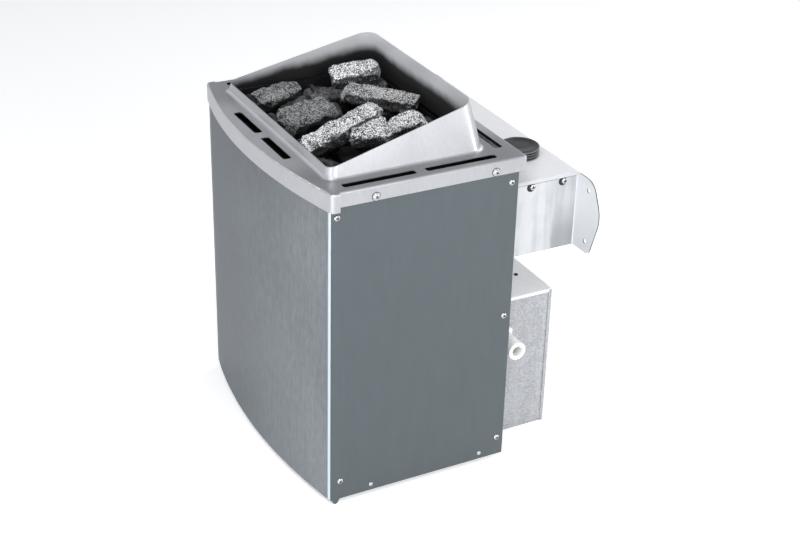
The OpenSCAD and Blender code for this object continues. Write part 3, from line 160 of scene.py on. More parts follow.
# Finishes: grain is noise per metre along x, y and z, cloud the soft patches, tone the share of change
steelFinishes = {
    "coverSteel": dict(colour=(0.91, 0.92, 0.94), metallic=0.10, rough=0.34, grain=(30, 30, 260),
                       tone=0.03, cloud=9, bump=0.02, cut=(0.62, 0.63, 0.65)),
    # painted shade: recess is the colour of the heads' cross recess
    "screwSteel": dict(colour=(0.66, 0.66, 0.68), metallic=0.9, rough=0.24, grain=(600, 600, 600),
                       tone=0.10, cloud=60, bump=0.05, recess=(0.03, 0.03, 0.032)),
    "darkScrew": dict(colour=(0.05, 0.05, 0.055), metallic=0.7, rough=0.42, grain=(600, 600, 600),
                      tone=0.10, cloud=60, bump=0.05),
    "blackSteel": dict(colour=(0.010, 0.010, 0.011), metallic=0.3, rough=0.70, grain=(90, 90, 90),
                       tone=0.20, cloud=12, bump=0.08),
    # painted shade: the inner shields and duct, seen only through the slots, are near black
    "shadeBlackSheet": dict(colour=(0.020, 0.020, 0.021), metallic=0.3, rough=0.66, grain=(120, 120, 120),
                       tone=0.25, cloud=16, bump=0.06),
    "elementSteel": dict(colour=(0.085, 0.085, 0.09), metallic=0.9, rough=0.40, grain=(220, 220, 20),
                         tone=0.25, cloud=25, bump=0.10),
    "grateIron": dict(colour=(0.04, 0.04, 0.042), metallic=0.5, rough=0.65, grain=(400, 400, 400),
                      tone=0.20, cloud=30, bump=0.25),
    "brassMetal": dict(colour=(0.60, 0.42, 0.16), metallic=1.0, rough=0.34, grain=(400, 400, 400),
                       tone=0.08, cloud=40, bump=0.05),
}


def startMaterial(name):
    mat = bpy.data.materials.new(name)
    mat.use_nodes = True
    tree = mat.node_tree
    shader = tree.nodes["Principled BSDF"]
    coords = tree.nodes.new("ShaderNodeTexCoord")
    return mat, tree, shader, coords.outputs["Object"]


def addNoise(tree, vector, scale, detail=3.0, rough=0.5, stretch=None):
    if stretch:
        mapping = tree.nodes.new("ShaderNodeMapping")
        mapping.inputs["Scale"].default_value = stretch
        tree.links.new(vector, mapping.inputs["Vector"])
        vector = mapping.outputs[0]
    tex = tree.nodes.new("ShaderNodeTexNoise")
    tex.inputs["Scale"].default_value = scale
    tex.inputs["Detail"].default_value = detail
    tex.inputs["Roughness"].default_value = rough
    tree.links.new(vector, tex.inputs["Vector"])
    return tex.outputs["Fac"]


def addRamp(tree, fac, stops):
    ramp = tree.nodes.new("ShaderNodeValToRGB")
    spots = ramp.color_ramp.elements
    while len(spots) < len(stops):
        spots.new(0.5)
    for spot, (at, colour) in zip(spots, stops):
        spot.position = at
        spot.color = (*colour, 1) if isinstance(colour, tuple) else (colour, colour, colour, 1)
    tree.links.new(fac, ramp.inputs[0])
    return ramp.outputs[0]


def addMix(tree, fac, one, two, kind="MIX"):
    mix = tree.nodes.new("ShaderNodeMix")
    mix.data_type = "RGBA"
    mix.blend_type = kind
    for sock, value in ((mix.inputs[0], fac), (mix.inputs[6], one), (mix.inputs[7], two)):
        if isinstance(value, bpy.types.NodeSocket):
            tree.links.new(value, sock)
        elif isinstance(value, tuple):
            sock.default_value = (*value, 1)
        else:
            sock.default_value = value
    return mix.outputs[2]


def addMath(tree, kind, one, two=0.0, three=None):
    # a number made from sockets and fixed values
    node = tree.nodes.new("ShaderNodeMath")
    node.operation = kind
    for sock, value in zip(node.inputs, (one, two, three)):
        if isinstance(value, bpy.types.NodeSocket):
            tree.links.new(value, sock)
        elif value is not None:
            sock.default_value = value
    return node.outputs[0]


def addStep(tree, value, start, end):
    # 0 before start, 1 after end, smooth between
    node = tree.nodes.new("ShaderNodeMapRange")
    node.interpolation_type = "SMOOTHSTEP"
    node.inputs["From Min"].default_value = start
    node.inputs["From Max"].default_value = end
    tree.links.new(value, node.inputs["Value"])
    return node.outputs["Result"]


def addAxes(tree, vector):
    split = tree.nodes.new("ShaderNodeSeparateXYZ")
    tree.links.new(vector, split.inputs[0])
    return split.outputs


def addFacing(tree):
    # the axes of the surface's normal
    coords = [n for n in tree.nodes if n.type == "TEX_COORD"][0]
    return addAxes(tree, coords.outputs["Normal"])


def addTone(tree, fac, f, start=0.3, end=0.7):
    # the finish's colour, darker at start and lighter at end by its tone
    low = tuple(c * (1 - f["tone"]) for c in f["colour"])
    high = tuple(min(1, c * (1 + f["tone"])) for c in f["colour"])
    return addRamp(tree, fac, [(start, low), (end, high)])


def addRough(tree, fac, f, less, more, start=0.3, end=0.7):
    # the finish's roughness, a little lower at start and higher at end
    return addRamp(tree, fac, [(start, f["rough"] - less), (end, f["rough"] + more)])


def addBump(tree, shader, height, strength, distance):
    bump = tree.nodes.new("ShaderNodeBump")
    bump.inputs["Strength"].default_value = strength
    bump.inputs["Distance"].default_value = distance
    tree.links.new(height, bump.inputs["Height"])
    tree.links.new(bump.outputs[0], shader.inputs["Normal"])


def makeSteel(name, f):
    mat, tree, shader, where = startMaterial(name)
    shader.inputs["Metallic"].default_value = f["metallic"]
    fine = addNoise(tree, where, 1.0, 2.0, 0.6, f["grain"])
    cloud = addNoise(tree, where, f["cloud"], 3.0)
    colour = addTone(tree, addMix(tree, 0.35, fine, cloud), f)
    if "recess" in f:
        # painted shade: the faces of the heads' cross recess are darkened
        recessShade = tree.nodes.new("ShaderNodeAttribute")
        recessShade.attribute_name = "recess"
        colour = addMix(tree, recessShade.outputs["Fac"], colour, f["recess"])
    if "cut" in f:
        # the cut edges of a level sheet are its faces that don't look up or down
        side = addMath(tree, "LESS_THAN", addMath(tree, "ABSOLUTE", addFacing(tree)["Z"]), 0.5)
        colour = addMix(tree, side, colour, f["cut"])
    tree.links.new(colour, shader.inputs["Base Color"])
    tree.links.new(addRough(tree, cloud, f, 0.04, 0.05), shader.inputs["Roughness"])
    addBump(tree, shader, fine, f["bump"], 0.0004)
    return mat


frameFinish = {
    "colour": (0.595, 0.60, 0.625), "metallic": 0.74, "rough": 0.35, "tone": 0.08,
    "inner": (0.86, 0.865, 0.89), "innerMetallic": 0.25,      # painted light: the inside of the collar is lighter and less metallic so that it looks lit
    "darkZone": (0.026, 0.026, 0.027),
    # painted shade and reflection inside the collar, black below a line: its height at the collar's front, how
    # far ahead that is, rise to the rear, softness and waves
    "darkZoneHeight": 0.463, "darkZoneFront": 0.156, "darkZoneSlope": 0.125, "darkZoneEdge": 0.010, "darkZoneWave": 0.014,
    "centre": (0.0, -0.05),                           # the collar's middle in plan
    "plateShade": 0.66, "plateFrom": (0.09, 0.15),     # painted shade: darker flat plate beside the collar
    "skirtShade": 0.86, "plateTop": 0.4588,            # painted shade: darker skirts below the plate
    "grain": (500, 500, 90), "cloud": 16, "wave": 24,
}


def makeFrameSteel(name, f):
    # satin drawn steel; inside the collar it is painted black below a slanted soft line, as painted shade and
    # reflection
    mat, tree, shader, where = startMaterial(name)
    x, y, z = addAxes(tree, where)
    nx, ny, nz = addFacing(tree)
    inward = addMath(tree, "ADD",
                     addMath(tree, "MULTIPLY", nx, addMath(tree, "SUBTRACT", x, f["centre"][0])),
                     addMath(tree, "MULTIPLY", ny, addMath(tree, "SUBTRACT", y, f["centre"][1])))
    inside = addStep(tree, addMath(tree, "MULTIPLY", inward, -1.0), 0.01, 0.03)
    wave = addNoise(tree, where, f["wave"], 4.0)
    behind = addMath(tree, "ADD", y, f["darkZoneFront"])
    line = addMath(tree, "ADD", addMath(tree, "MULTIPLY", behind, f["darkZoneSlope"]), f["darkZoneHeight"])
    line = addMath(tree, "ADD", line, addMath(tree, "MULTIPLY", wave, f["darkZoneWave"]))
    under = addStep(tree, addMath(tree, "SUBTRACT", line, z), -f["darkZoneEdge"], f["darkZoneEdge"])
    # painted shade and reflection: black inside the collar below the line
    darkZone = addMath(tree, "MULTIPLY", inside, under)
    fine = addNoise(tree, where, 1.0, 2.0, 0.6, f["grain"])
    cloud = addNoise(tree, where, f["cloud"], 4.0)
    outsideDark = addTone(tree, addMix(tree, 0.5, fine, cloud), f)
    aside = addStep(tree, addMath(tree, "ABSOLUTE", x), *f["plateFrom"])
    flat = addMath(tree, "MULTIPLY", addStep(tree, nz, 0.93, 0.99), aside)
    skirt = addMath(tree, "MULTIPLY", addStep(tree, addMath(tree, "ABSOLUTE", nx), 0.96, 0.995),
                    addMath(tree, "LESS_THAN", z, f["plateTop"]))
    # painted shade on the flat plate beside the collar and on the skirts
    outsideDark = addMix(tree, flat, outsideDark, addMix(tree, 1.0, outsideDark, (f["plateShade"],) * 3, "MULTIPLY"))
    outsideDark = addMix(tree, skirt, outsideDark, addMix(tree, 1.0, outsideDark, (f["skirtShade"],) * 3, "MULTIPLY"))
    # painted light: the inside of the collar made lighter
    outsideDark = addMix(tree, inside, outsideDark, f["inner"])
    tree.links.new(addMix(tree, darkZone, outsideDark, f["darkZone"]), shader.inputs["Base Color"])
    dull = addMath(tree, "MULTIPLY_ADD", inside, f["innerMetallic"] - f["metallic"], f["metallic"])
    tree.links.new(dull, shader.inputs["Metallic"])
    rough = addRough(tree, cloud, f, 0.05, 0.06)
    tree.links.new(addMix(tree, darkZone, rough, (0.8, 0.8, 0.8)), shader.inputs["Roughness"])
    addBump(tree, shader, fine, 0.025, 0.0004)
    return mat


panelFinishes = {
    # brushed: fine upright lines and small mottles, with a painted highlight line at the bends and painted
    # shade towards the left
    "frontSteel": dict(colour=(0.270, 0.289, 0.305), metallic=0.80, rough=0.40, lines=(1500, 1500, 10),
                       mottle=190, tone=0.26,
                       shade=((0.46, 0.50, 0.54), (1.0, 1.0, 1.0)),      # painted shade: the colour at the left and at the right
                       bend=(0.1926, 0.1946), bendHighlightColour=(0.78, 0.88, 0.96), bendRough=0.30),
    "sideSteel": dict(colour=(0.110, 0.130, 0.140), metallic=0.45, rough=0.44, lines=(900, 900, 8),
                      mottle=60, tone=0.07, bend=None),
}


def makePanelSteel(name, f):
    mat, tree, shader, where = startMaterial(name)
    shader.inputs["Metallic"].default_value = f["metallic"]
    lines = addNoise(tree, where, 1.0, 3.0, 0.6, f["lines"])
    mottle = addNoise(tree, where, f["mottle"], 3.0, 0.6, (1, 1, 0.35))
    cloud = addNoise(tree, where, 6, 3.0)
    both = addMix(tree, 0.45, lines, mottle)
    both = addMix(tree, 0.25, both, cloud)
    colour = addTone(tree, both, f, 0.35, 0.65)
    rough = addRough(tree, both, f, 0.04, 0.05)
    if f["bend"]:
        # 0 at the heater's left side and 1 at its right, 0.4 m on
        x = addAxes(tree, where)["X"]
        # painted shade: darker towards the heater's left side
        wide = addRamp(tree, addMath(tree, "MULTIPLY_ADD", x, 2.5, 0.5), list(zip((0.05, 0.9), f["shade"])))
        colour = addMix(tree, 1.0, colour, wide, "MULTIPLY")
        # painted highlight along the vertical bends
        bendHighlight = addStep(tree, addMath(tree, "ABSOLUTE", x), *f["bend"])
        colour = addMix(tree, bendHighlight, colour, f["bendHighlightColour"])
        rough = addMix(tree, bendHighlight, rough, (f["bendRough"],) * 3)
    tree.links.new(colour, shader.inputs["Base Color"])
    tree.links.new(rough, shader.inputs["Roughness"])
    addBump(tree, shader, both, 0.05, 0.0004)
    return mat


bracketFinish = {
    "bands": ((0.55, 0.56, 0.58), (0.68, 0.69, 0.71)), "rough": 0.30, "metallic": 0.35,
    "darkReflection": (0.163, 0.170), "darkReflectionColour": (0.24, 0.25, 0.27),      # painted dark reflection before the fold at the wall
    "darkReflectionTop": 0.385, "darkReflectionFade": 0.075, "darkReflectionWave": 0.010, "darkReflectionShare": (0.62, 0.10),
    # painted shadow under the cover's lip and painted shade on the cut edges
    "lipShadow": (0.0017, 0.0009), "edge": (0.06, 0.06, 0.065),
    "wall": 0.1955, "wing": 0.188, "wingColour": (0.80, 0.805, 0.825),
}


def makeBracketSteel(name, f):
    # bright annealed sheet with upright rolling bands, a painted dark reflection by the fold, a painted shadow
    # under the cover's lip and painted shade on the cut edges
    mat, tree, shader, where = startMaterial(name)
    shader.inputs["Metallic"].default_value = f["metallic"]
    shader.inputs["Roughness"].default_value = f["rough"]
    x, y, z = addAxes(tree, where)
    bands = addNoise(tree, where, 1.0, 3.0, 0.6, (30, 62, 3.5))
    cloud = addNoise(tree, where, 40, 4.0)
    both = addMix(tree, 0.3, bands, cloud)
    colour = addRamp(tree, both, [(0.40, f["bands"][0]), (0.56, f["bands"][1])])
    aside = addMath(tree, "LESS_THAN", y, f["wall"])
    # painted reflection: darker by the fold at the wall, more so low down
    low = addStep(tree, addMath(tree, "SUBTRACT", f["darkReflectionTop"], z), 0.0, f["darkReflectionFade"])
    fold = addStep(tree, addMath(tree, "MULTIPLY_ADD", cloud, f["darkReflectionWave"], y), *f["darkReflection"])
    darkReflection = addMath(tree, "MULTIPLY", fold, addMath(tree, "MULTIPLY_ADD", low, *f["darkReflectionShare"]))
    darkReflection = addMath(tree, "MULTIPLY", darkReflection, aside)
    colour = addMix(tree, darkReflection, colour, f["darkReflectionColour"])
    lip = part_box("bracket_cover")[0][2]
    colour = addMix(tree, aside, f["wingColour"], colour)
    # painted shadow: a dark line just under the cover's lip
    lipShadow = addMath(tree, "MULTIPLY", addStep(tree, z, lip - f["lipShadow"][0], lip - f["lipShadow"][1]), aside)
    colour = addMix(tree, lipShadow, colour, f["edge"])
    # painted shade on the wing's edge faces
    edgeOn = addMath(tree, "ABSOLUTE", addFacing(tree)["Y"])
    cut = addMath(tree, "MULTIPLY", addMath(tree, "LESS_THAN", edgeOn, 0.5),
                  addMath(tree, "GREATER_THAN", addMath(tree, "ABSOLUTE", x), f["wing"]))
    tree.links.new(addMix(tree, cut, colour, f["edge"]), shader.inputs["Base Color"])
    addBump(tree, shader, both, 0.03, 0.0004)
    return mat


zincFinish = {"spangle": 520, "dark": (0.36, 0.37, 0.39), "light": (0.54, 0.55, 0.57), "rough": 0.46,
              "metallic": 0.35, "lip": None}
# painted light: the lid's zinc is painted near white and not metallic, a lit copy of the zinc sheet
lidFinish = {"spangle": 420, "dark": (0.90, 0.91, 0.93), "light": (0.98, 0.98, 0.99), "rough": 0.42,
             "metallic": 0.0, "lip": 0.1437, "lipHighlight": (0.98, 0.98, 0.98)}      # painted highlight on the rolled lip along the sides


def makeZinc(name, f):
    # galvanised sheet: small dull crystals in soft clouds, with faint streaks
    mat, tree, shader, where = startMaterial(name)
    shader.inputs["Metallic"].default_value = f["metallic"]
    cells = tree.nodes.new("ShaderNodeTexVoronoi")
    cells.inputs["Scale"].default_value = f["spangle"]
    tree.links.new(where, cells.inputs["Vector"])
    grey = tree.nodes.new("ShaderNodeSeparateColor")
    tree.links.new(cells.outputs["Color"], grey.inputs[0])
    cloud = addNoise(tree, where, 70, 8.0, 0.75)
    streak = addNoise(tree, where, 1.0, 3.0, 0.5, (120, 120, 9))
    both = addMix(tree, 0.62, grey.outputs[0], cloud)
    both = addMix(tree, 0.30, both, streak)
    colour = addRamp(tree, both, [(0.34, f["dark"]), (0.62, f["light"])])
    if f["lip"]:
        # painted highlight along the lid's lip
        aside = addMath(tree, "ABSOLUTE", addAxes(tree, where)["X"])
        colour = addMix(tree, addMath(tree, "GREATER_THAN", aside, f["lip"]), colour, f["lipHighlight"])
    tree.links.new(colour, shader.inputs["Base Color"])
    tree.links.new(addRough(tree, both, f, 0.08, 0.08, 0.2, 0.8), shader.inputs["Roughness"])
    addBump(tree, shader, cloud, 0.04, 0.0005)
    return mat


stoneFinish = {"fleck": 900, "grain": 1600, "dark": (0.008, 0.008, 0.009), "mid": (0.11, 0.115, 0.12),
               "light": (0.55, 0.56, 0.57), "pale": (0.95, 0.96, 0.97),
               "rough": 0.72,
               # heights between which the stones go from black to their full colour, and the tint of the black
               # ones: soot and painted shade low down
               "darkZone": (0.446, 0.474), "darkZoneTint": (0.08, 0.08, 0.082)}


def makeStone(name, f, ownTone):
    # split diorite: black and white crystals of about 1 mm, cloudy, black low down with soot and painted shade
    mat, tree, shader, where = startMaterial(name)
    z = addAxes(tree, where)["Z"]
    crystals = tree.nodes.new("ShaderNodeTexVoronoi")
    crystals.inputs["Scale"].default_value = f["fleck"]
    tree.links.new(where, crystals.inputs["Vector"])
    grey = tree.nodes.new("ShaderNodeSeparateColor")
    tree.links.new(crystals.outputs["Color"], grey.inputs[0])
    fine = addNoise(tree, where, f["grain"], 2.0, 0.7)
    patch = addNoise(tree, where, 60, 6.0, 0.7)
    mixed = addMix(tree, 0.55, grey.outputs[0], fine)
    tone = addMix(tree, 0.38, mixed, patch)
    colour = addRamp(tree, tone, [(0.40, f["dark"]), (0.47, f["mid"]), (0.505, f["light"]), (0.57, f["pale"])])
    # the stone's own tone, which carries painted shade on faces that look down
    if ownTone:
        own = tree.nodes.new("ShaderNodeAttribute")
        own.attribute_name = "tone"
        colour = addMix(tree, 1.0, colour, own.outputs["Color"], "MULTIPLY")
    # soot and painted shade: black below the dark zone's heights
    outsideDark = addStep(tree, addMath(tree, "ADD", z, addMath(tree, "MULTIPLY", patch, 0.01)), *f["darkZone"])
    dark = addMix(tree, 1.0, colour, f["darkZoneTint"], "MULTIPLY")
    tree.links.new(addMix(tree, outsideDark, dark, colour), shader.inputs["Base Color"])
    shader.inputs["Roughness"].default_value = f["rough"]
    rough = addNoise(tree, where, 210, 5.0, 0.65)
    addBump(tree, shader, addMix(tree, 0.5, rough, fine), 0.5, 0.0014)
    return mat


plasticFinishes = {
    "blackPlastic": dict(colour=(0.026, 0.026, 0.028), rough=0.42, grain=900, bump=0.05),
    "whitePlastic": dict(colour=(0.93, 0.93, 0.92), rough=0.28, grain=300, bump=0.02),
    "blackRubberAndShadow": dict(colour=(0.025, 0.025, 0.025), rough=0.75, grain=700, bump=0.08),
    "ceramicBody": dict(colour=(0.82, 0.79, 0.72), rough=0.6, grain=500, bump=0.10),
}


capFinish = {"colour": (0.014, 0.014, 0.015), "worn": (0.055, 0.055, 0.058), "crestHighlight": (0.13, 0.13, 0.135),
             "rough": 0.34, "crestRadius": (0.02655, 0.02685)}


def makeCapPlastic(name, f):
    # black plastic, scuffed in small patches, with a painted highlight on its ribs' crests
    mat, tree, shader, where = startMaterial(name)
    low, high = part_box("filler_cap")
    x, y = addAxes(tree, where)[:2]
    dx = addMath(tree, "SUBTRACT", x, (low[0] + high[0]) / 2)
    dy = addMath(tree, "SUBTRACT", y, (low[1] + high[1]) / 2)
    out = addMath(tree, "SQRT", addMath(tree, "ADD", addMath(tree, "MULTIPLY", dx, dx),
                                        addMath(tree, "MULTIPLY", dy, dy)))
    scuff = addNoise(tree, where, 330, 5.0, 0.65)
    colour = addRamp(tree, scuff, [(0.42, f["colour"]), (0.68, f["worn"])])
    # painted highlight on the crests of the ribs
    colour = addMix(tree, addStep(tree, out, *f["crestRadius"]), colour, f["crestHighlight"])
    tree.links.new(colour, shader.inputs["Base Color"])
    tree.links.new(addRough(tree, scuff, f, 0.06, 0.12), shader.inputs["Roughness"])
    addBump(tree, shader, scuff, 0.4, 0.0004)
    return mat


def makePlastic(name, f):
    mat, tree, shader, where = startMaterial(name)
    fine = addNoise(tree, where, f["grain"], 3.0)
    low = tuple(c * 0.93 for c in f["colour"])
    tree.links.new(addRamp(tree, fine, [(0.3, low), (0.7, f["colour"])]), shader.inputs["Base Color"])
    tree.links.new(addRough(tree, fine, f, 0.04, 0.06), shader.inputs["Roughness"])
    addBump(tree, shader, fine, f["bump"], 0.0003)
    return mat


finishes = {n: makeSteel(n, f) for n, f in steelFinishes.items()}
finishes.update({n: makePlastic(n, f) for n, f in plasticFinishes.items()})
finishes.update({n: makePanelSteel(n, f) for n, f in panelFinishes.items()})
finishes["frameSteel"] = makeFrameSteel("frameSteel", frameFinish)
finishes["zincSheet"] = makeZinc("zincSheet", zincFinish)
finishes["lidSheet"] = makeZinc("lidSheet", lidFinish)
finishes["capPlastic"] = makeCapPlastic("capPlastic", capFinish)
finishes["bracketSteel"] = makeBracketSteel("bracketSteel", bracketFinish)
finishes["dioriteStone"] = makeStone("dioriteStone", stoneFinish, True)
finishes["sootShadeStone"] = makeStone("sootShadeStone", stoneFinish, False)

nodeFinishes = {
    "frameSteel": ["top_frame"],
    "frontSteel": ["front_panel"],
    "sideSteel": ["side_panel_left", "side_panel_right"],
    "coverSteel": ["bracket_cover"],
    "bracketSteel": ["bracket_left", "bracket_right"],
    "lidSheet": ["evaporator_lid"],
    "zincSheet": ["rear_panel", "base_tray", "chamber_support_left", "chamber_support_right", "element_plate",
                  "water_tank", "filler_neck", "feed_pipe", "evaporator_shell",
                  "evaporator_back", "evaporator_tank"],
    "shadeBlackSheet": ["heat_shield_front", "heat_shield_rear", "heat_shield_left", "heat_shield_right",
                   "steam_duct"],
    "screwSteel": ["side_panel_screws", "panel_rivets", "frame_screws", "bracket_screws"],
    "darkScrew": ["evaporator_screws"],
    "blackSteel": ["stone_chamber"],
    "elementSteel": ["heating_element_1", "heating_element_2", "heating_element_3", "evaporator_element"],
    "grateIron": ["stone_grate"],
    "brassMetal": ["element_nuts", "bus_bar"],
    "ceramicBody": ["terminal_block", "overheat_cutout"],
    "sootShadeStone": ["stones_lower", "stones_top"],
    "capPlastic": ["filler_cap"],
    "blackPlastic": ["cable_gland", "gland_nut"],
    "whitePlastic": ["overflow_pipe", "overflow_nut"],
    "blackRubberAndShadow": ["cap_seal"],
}
for finish, names in nodeFinishes.items():
    for n in names:
        nodes[n].data.materials.clear()
        nodes[n].data.materials.append(finishes[finish])
print("stage: finishes on", sum(len(v) for v in nodeFinishes.values()), "nodes")

# Stones
stoneLook = {
    "seed": 7,
    "voxel": 0.0015,      # mesh size of a stone's skin
    "swell": 0.0016,      # loose stones are packed a little tighter than their solids
    "splits": 11,         # flat split faces on each stone and how deep they cut
    "splitDepth": (0.0002, 0.0036),
    "splitWave": 0.0016, "waveScale": 60,
    "ridge": 0.0026, "ridgeScale": 52, "ridgeLevel": 1.3,
    "pit": 0.0007, "pitScale": 240,
    "keep": 0.0012,       # how far a stone may stand out of its solid
    "under": 0.14,        # painted shade: tone of faces that look down, as a share of the stone's own
    "lit": (0.05, 0.65),  # how far up a face looks before it has its full tone
    "toneReach": 0.010,   # how near its place in the list a stone has to lie
    # middle in x and y of each upper stone and its tone, and the tone of those between them, dark as painted
    # shade
    "tones": [((-0.112, 0.013), 1.15), ((-0.109, -0.106), 0.42), ((-0.027, 0.010), 0.80),
              ((-0.026, -0.098), 0.36), ((0.048, -0.086), 1.0), ((0.056, 0.005), 1.20),
              ((0.062, -0.048), 1.20)],
    "low": 0.26,
}

# the stack below: coarser, so that it stays under 200,000 triangles, and cut deeper
# painted shade: the stack below is given a dark tone (low)
lowerLook = dict(stoneLook, seed=60, voxel=0.0040, swell=0, splits=9, splitDepth=(0.0010, 0.0060),
                 keep=0.0002, low=0.34, tones=[])


def looseParts(node):
    # a merged copy of a node, taken apart into its separate solids
    mesh = nodes[node].data.copy()
    bm = bmesh.new()
    bm.from_mesh(mesh)
    bmesh.ops.remove_doubles(bm, verts=bm.verts, dist=1e-6)
    bm.to_mesh(mesh)
    bm.free()
    obj = addObject("loose", mesh)
    bpy.ops.object.select_all(action="DESELECT")
    obj.select_set(True)
    bpy.context.view_layer.objects.active = obj
    bpy.ops.object.mode_set(mode="EDIT")
    bpy.ops.mesh.select_all(action="SELECT")
    bpy.ops.mesh.separate(type="LOOSE")
    bpy.ops.object.mode_set(mode="OBJECT")
    return list(bpy.context.selected_objects)


def roughenStone(obj, look, n):
    # an even skin, flat split faces all round, then ridges and pits, nearly all of it inwards
    skin = obj.modifiers.new("skin", "REMESH")
    skin.mode = "VOXEL"
    skin.voxel_size = look["voxel"]
    dg = bpy.context.evaluated_depsgraph_get()
    mesh = bpy.data.meshes.new_from_object(obj.evaluated_get(dg))
    obj.modifiers.clear()
    rnd = random.Random(n)
    shift = Vector((n * 1.7, n * 3.1, n * 0.9))
    bm = bmesh.new()
    bm.from_mesh(mesh)
    bm.normal_update()
    for v in bm.verts:
        v.co += look["swell"] * v.normal
    for _ in range(look["splits"]):
        way = Vector((rnd.gauss(0, 1), rnd.gauss(0, 1), rnd.gauss(0.15, 0.8))).normalized()
        reach = max(v.co.dot(way) for v in bm.verts) - rnd.uniform(*look["splitDepth"])
        for v in bm.verts:
            wave = noise.fractal(v.co * look["waveScale"] + shift, 0.8, 2.0, 3) * look["splitWave"]
            over = v.co.dot(way) - reach - wave
            if over > 0:
                v.co -= over * way
    bm.normal_update()
    moves = []
    for v in bm.verts:
        ridge = noise.ridged_multi_fractal(v.co * look["ridgeScale"] + shift, 0.9, 2.1, 4, 0.9, 2.0)
        pit = noise.fractal(v.co * look["pitScale"] + shift, 0.8, 2.0, 3)
        out = (ridge - look["ridgeLevel"]) * look["ridge"] + pit * look["pit"]
        moves.append(min(look["keep"], out) * v.normal)
    for v, m in zip(bm.verts, moves):
        v.co += m
    for f in bm.faces:
        f.smooth = True
    bm.normal_update()
    mid = sum((v.co for v in bm.verts), Vector()) / len(bm.verts)
    near = [t for place, t in look["tones"] if (mid.xy - Vector(place)).length < look["toneReach"]]
    own = near[0] if near else look["low"]
    tones = []
    start, reach = look["lit"]
    # painted shade: faces that look down get a darker tone
    for v in bm.verts:
        up = max(0.0, min(1.0, (v.normal.z + start) / reach))
        tones.append(own * (look["under"] + (1 - look["under"]) * up))
    low, high = min(v.co.z for v in bm.verts), max(v.co.z for v in bm.verts)
    bm.to_mesh(mesh)
    bm.free()
    shade = mesh.color_attributes.new("tone", "FLOAT_COLOR", "POINT")
    for spot, t in zip(shade.data, tones):
        spot.color = (t, t, t, 1)
    old = obj.data
    obj.data = mesh
    bpy.data.meshes.remove(old)
    print("  stone", n, "at %.3f %.3f, z %.3f to %.3f" % (mid.x, mid.y, low, high), "tone", own)


def makeStones(node, name, look):
    # every solid of a node turned into a rough stone, all joined again
    parts = looseParts(node)
    for n, o in enumerate(sorted(parts, key=lambda p: tuple(round(c, 4) for c in p.data.vertices[0].co))):
        roughenStone(o, look, n + look["seed"])
    bpy.ops.object.select_all(action="DESELECT")
    for o in parts:
        o.select_set(True)
    bpy.context.view_layer.objects.active = parts[0]
    bpy.ops.object.join()
    stones = bpy.context.view_layer.objects.active
    stones.name = stones.data.name = name
    stones.data.materials.clear()
    stones.data.materials.append(finishes["dioriteStone"])
    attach(stones, "heater")
    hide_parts(node)


makeStones("stones_top", "topStones", stoneLook)
makeStones("stones_lower", "lowerStones", lowerLook)
print("stage: stones")

# Screws and rivets
headKinds = {
    # node: head radius and height, shaft radius and length, washer, recess, finish and slot
    "side_panel_screws": dict(name="sideScrews", head=0.0042, rise=0.0024, shaft=0.002, length=0.006,
                              washer=None, recess=True, finish="screwSteel", slot="screw_steel"),
    "frame_screws": dict(name="frameScrews", head=0.0042, rise=0.0024, shaft=0.002, length=0.0068,
                         washer=(0.0053, 0.0008), recess=True, finish="screwSteel", slot="screw_steel"),
    "bracket_screws": dict(name="bracketScrews", head=0.0042, rise=0.0024, shaft=0.002, length=0.006,
                           washer=None, recess=True, finish="screwSteel", slot="screw_steel"),
    "panel_rivets": dict(name="panelRivets", head=0.0030, rise=0.0013, shaft=0.002, length=0.006,
                         washer=None, recess=False, finish="screwSteel", slot="screw_steel"),
    "evaporator_screws": dict(name="boxScrews", head=0.003, rise=0.0022, shaft=0.0016, length=0.005,
                              washer=None, recess=True, finish="darkScrew", slot="dark_screw"),
}
# a head's outline and its recess's span, width and depth, as shares of the head's radius and height
headCurve = [(0.45, 0.06), (0.72, 0.24), (0.90, 0.50), (1, 0.80), (1, 0.985)]
recessShares = (0.72, 0.38, 0.75)


def addRing(bm, r, z, steps, place=Matrix.Identity(4)):
    turns = [math.tau * k / steps for k in range(steps)]
    return [bm.verts.new(place @ Vector((r * math.cos(a), r * math.sin(a), z))) for a in turns]


def joinRings(bm, one, two):
    # faces between two rings, or between a ring and a point
    steps = max(len(one), len(two))
    for k in range(steps):
        j = (k + 1) % steps
        if len(one) == 1:
            bm.faces.new((one[0], two[j], two[k]))
        elif len(two) == 1:
            bm.faces.new((one[k], one[j], two[0]))
        else:
            bm.faces.new((one[k], one[j], two[j], two[k]))


def objectFrom(name, bm):
    bmesh.ops.recalc_face_normals(bm, faces=bm.faces)
    mesh = bpy.data.meshes.new(name)
    bm.to_mesh(mesh)
    bm.free()
    return addObject(name, mesh)


def makeLathe(name, profile, steps):
    # a closed turned solid about z from a profile of radius and height, ends on the axis
    bm = bmesh.new()
    rings = [addRing(bm, r, z, steps) if r else [bm.verts.new((0, 0, z))] for r, z in profile]
    for one, two in zip(rings, rings[1:]):
        joinRings(bm, one, two)
    return objectFrom(name, bm)


def makeCross(name, span, width, depth):
    # the cutter of a cross recess: a plus outline that narrows downwards
    a, b = span, width / 2
    outline = [(a, -b), (a, b), (b, b), (b, a), (-b, a), (-b, b), (-a, b), (-a, -b), (-b, -b), (-b, -a),
               (b, -a), (b, -b)]
    bm = bmesh.new()
    top = [bm.verts.new((x, y, depth)) for x, y in outline]
    low = [bm.verts.new((x * 0.55, y * 0.7, -depth)) for x, y in outline]
    bm.faces.new(top)
    bm.faces.new(list(reversed(low)))
    for k in range(len(outline)):
        j = (k + 1) % len(outline)
        bm.faces.new((low[k], low[j], top[j], top[k]))
    return objectFrom(name, bm)


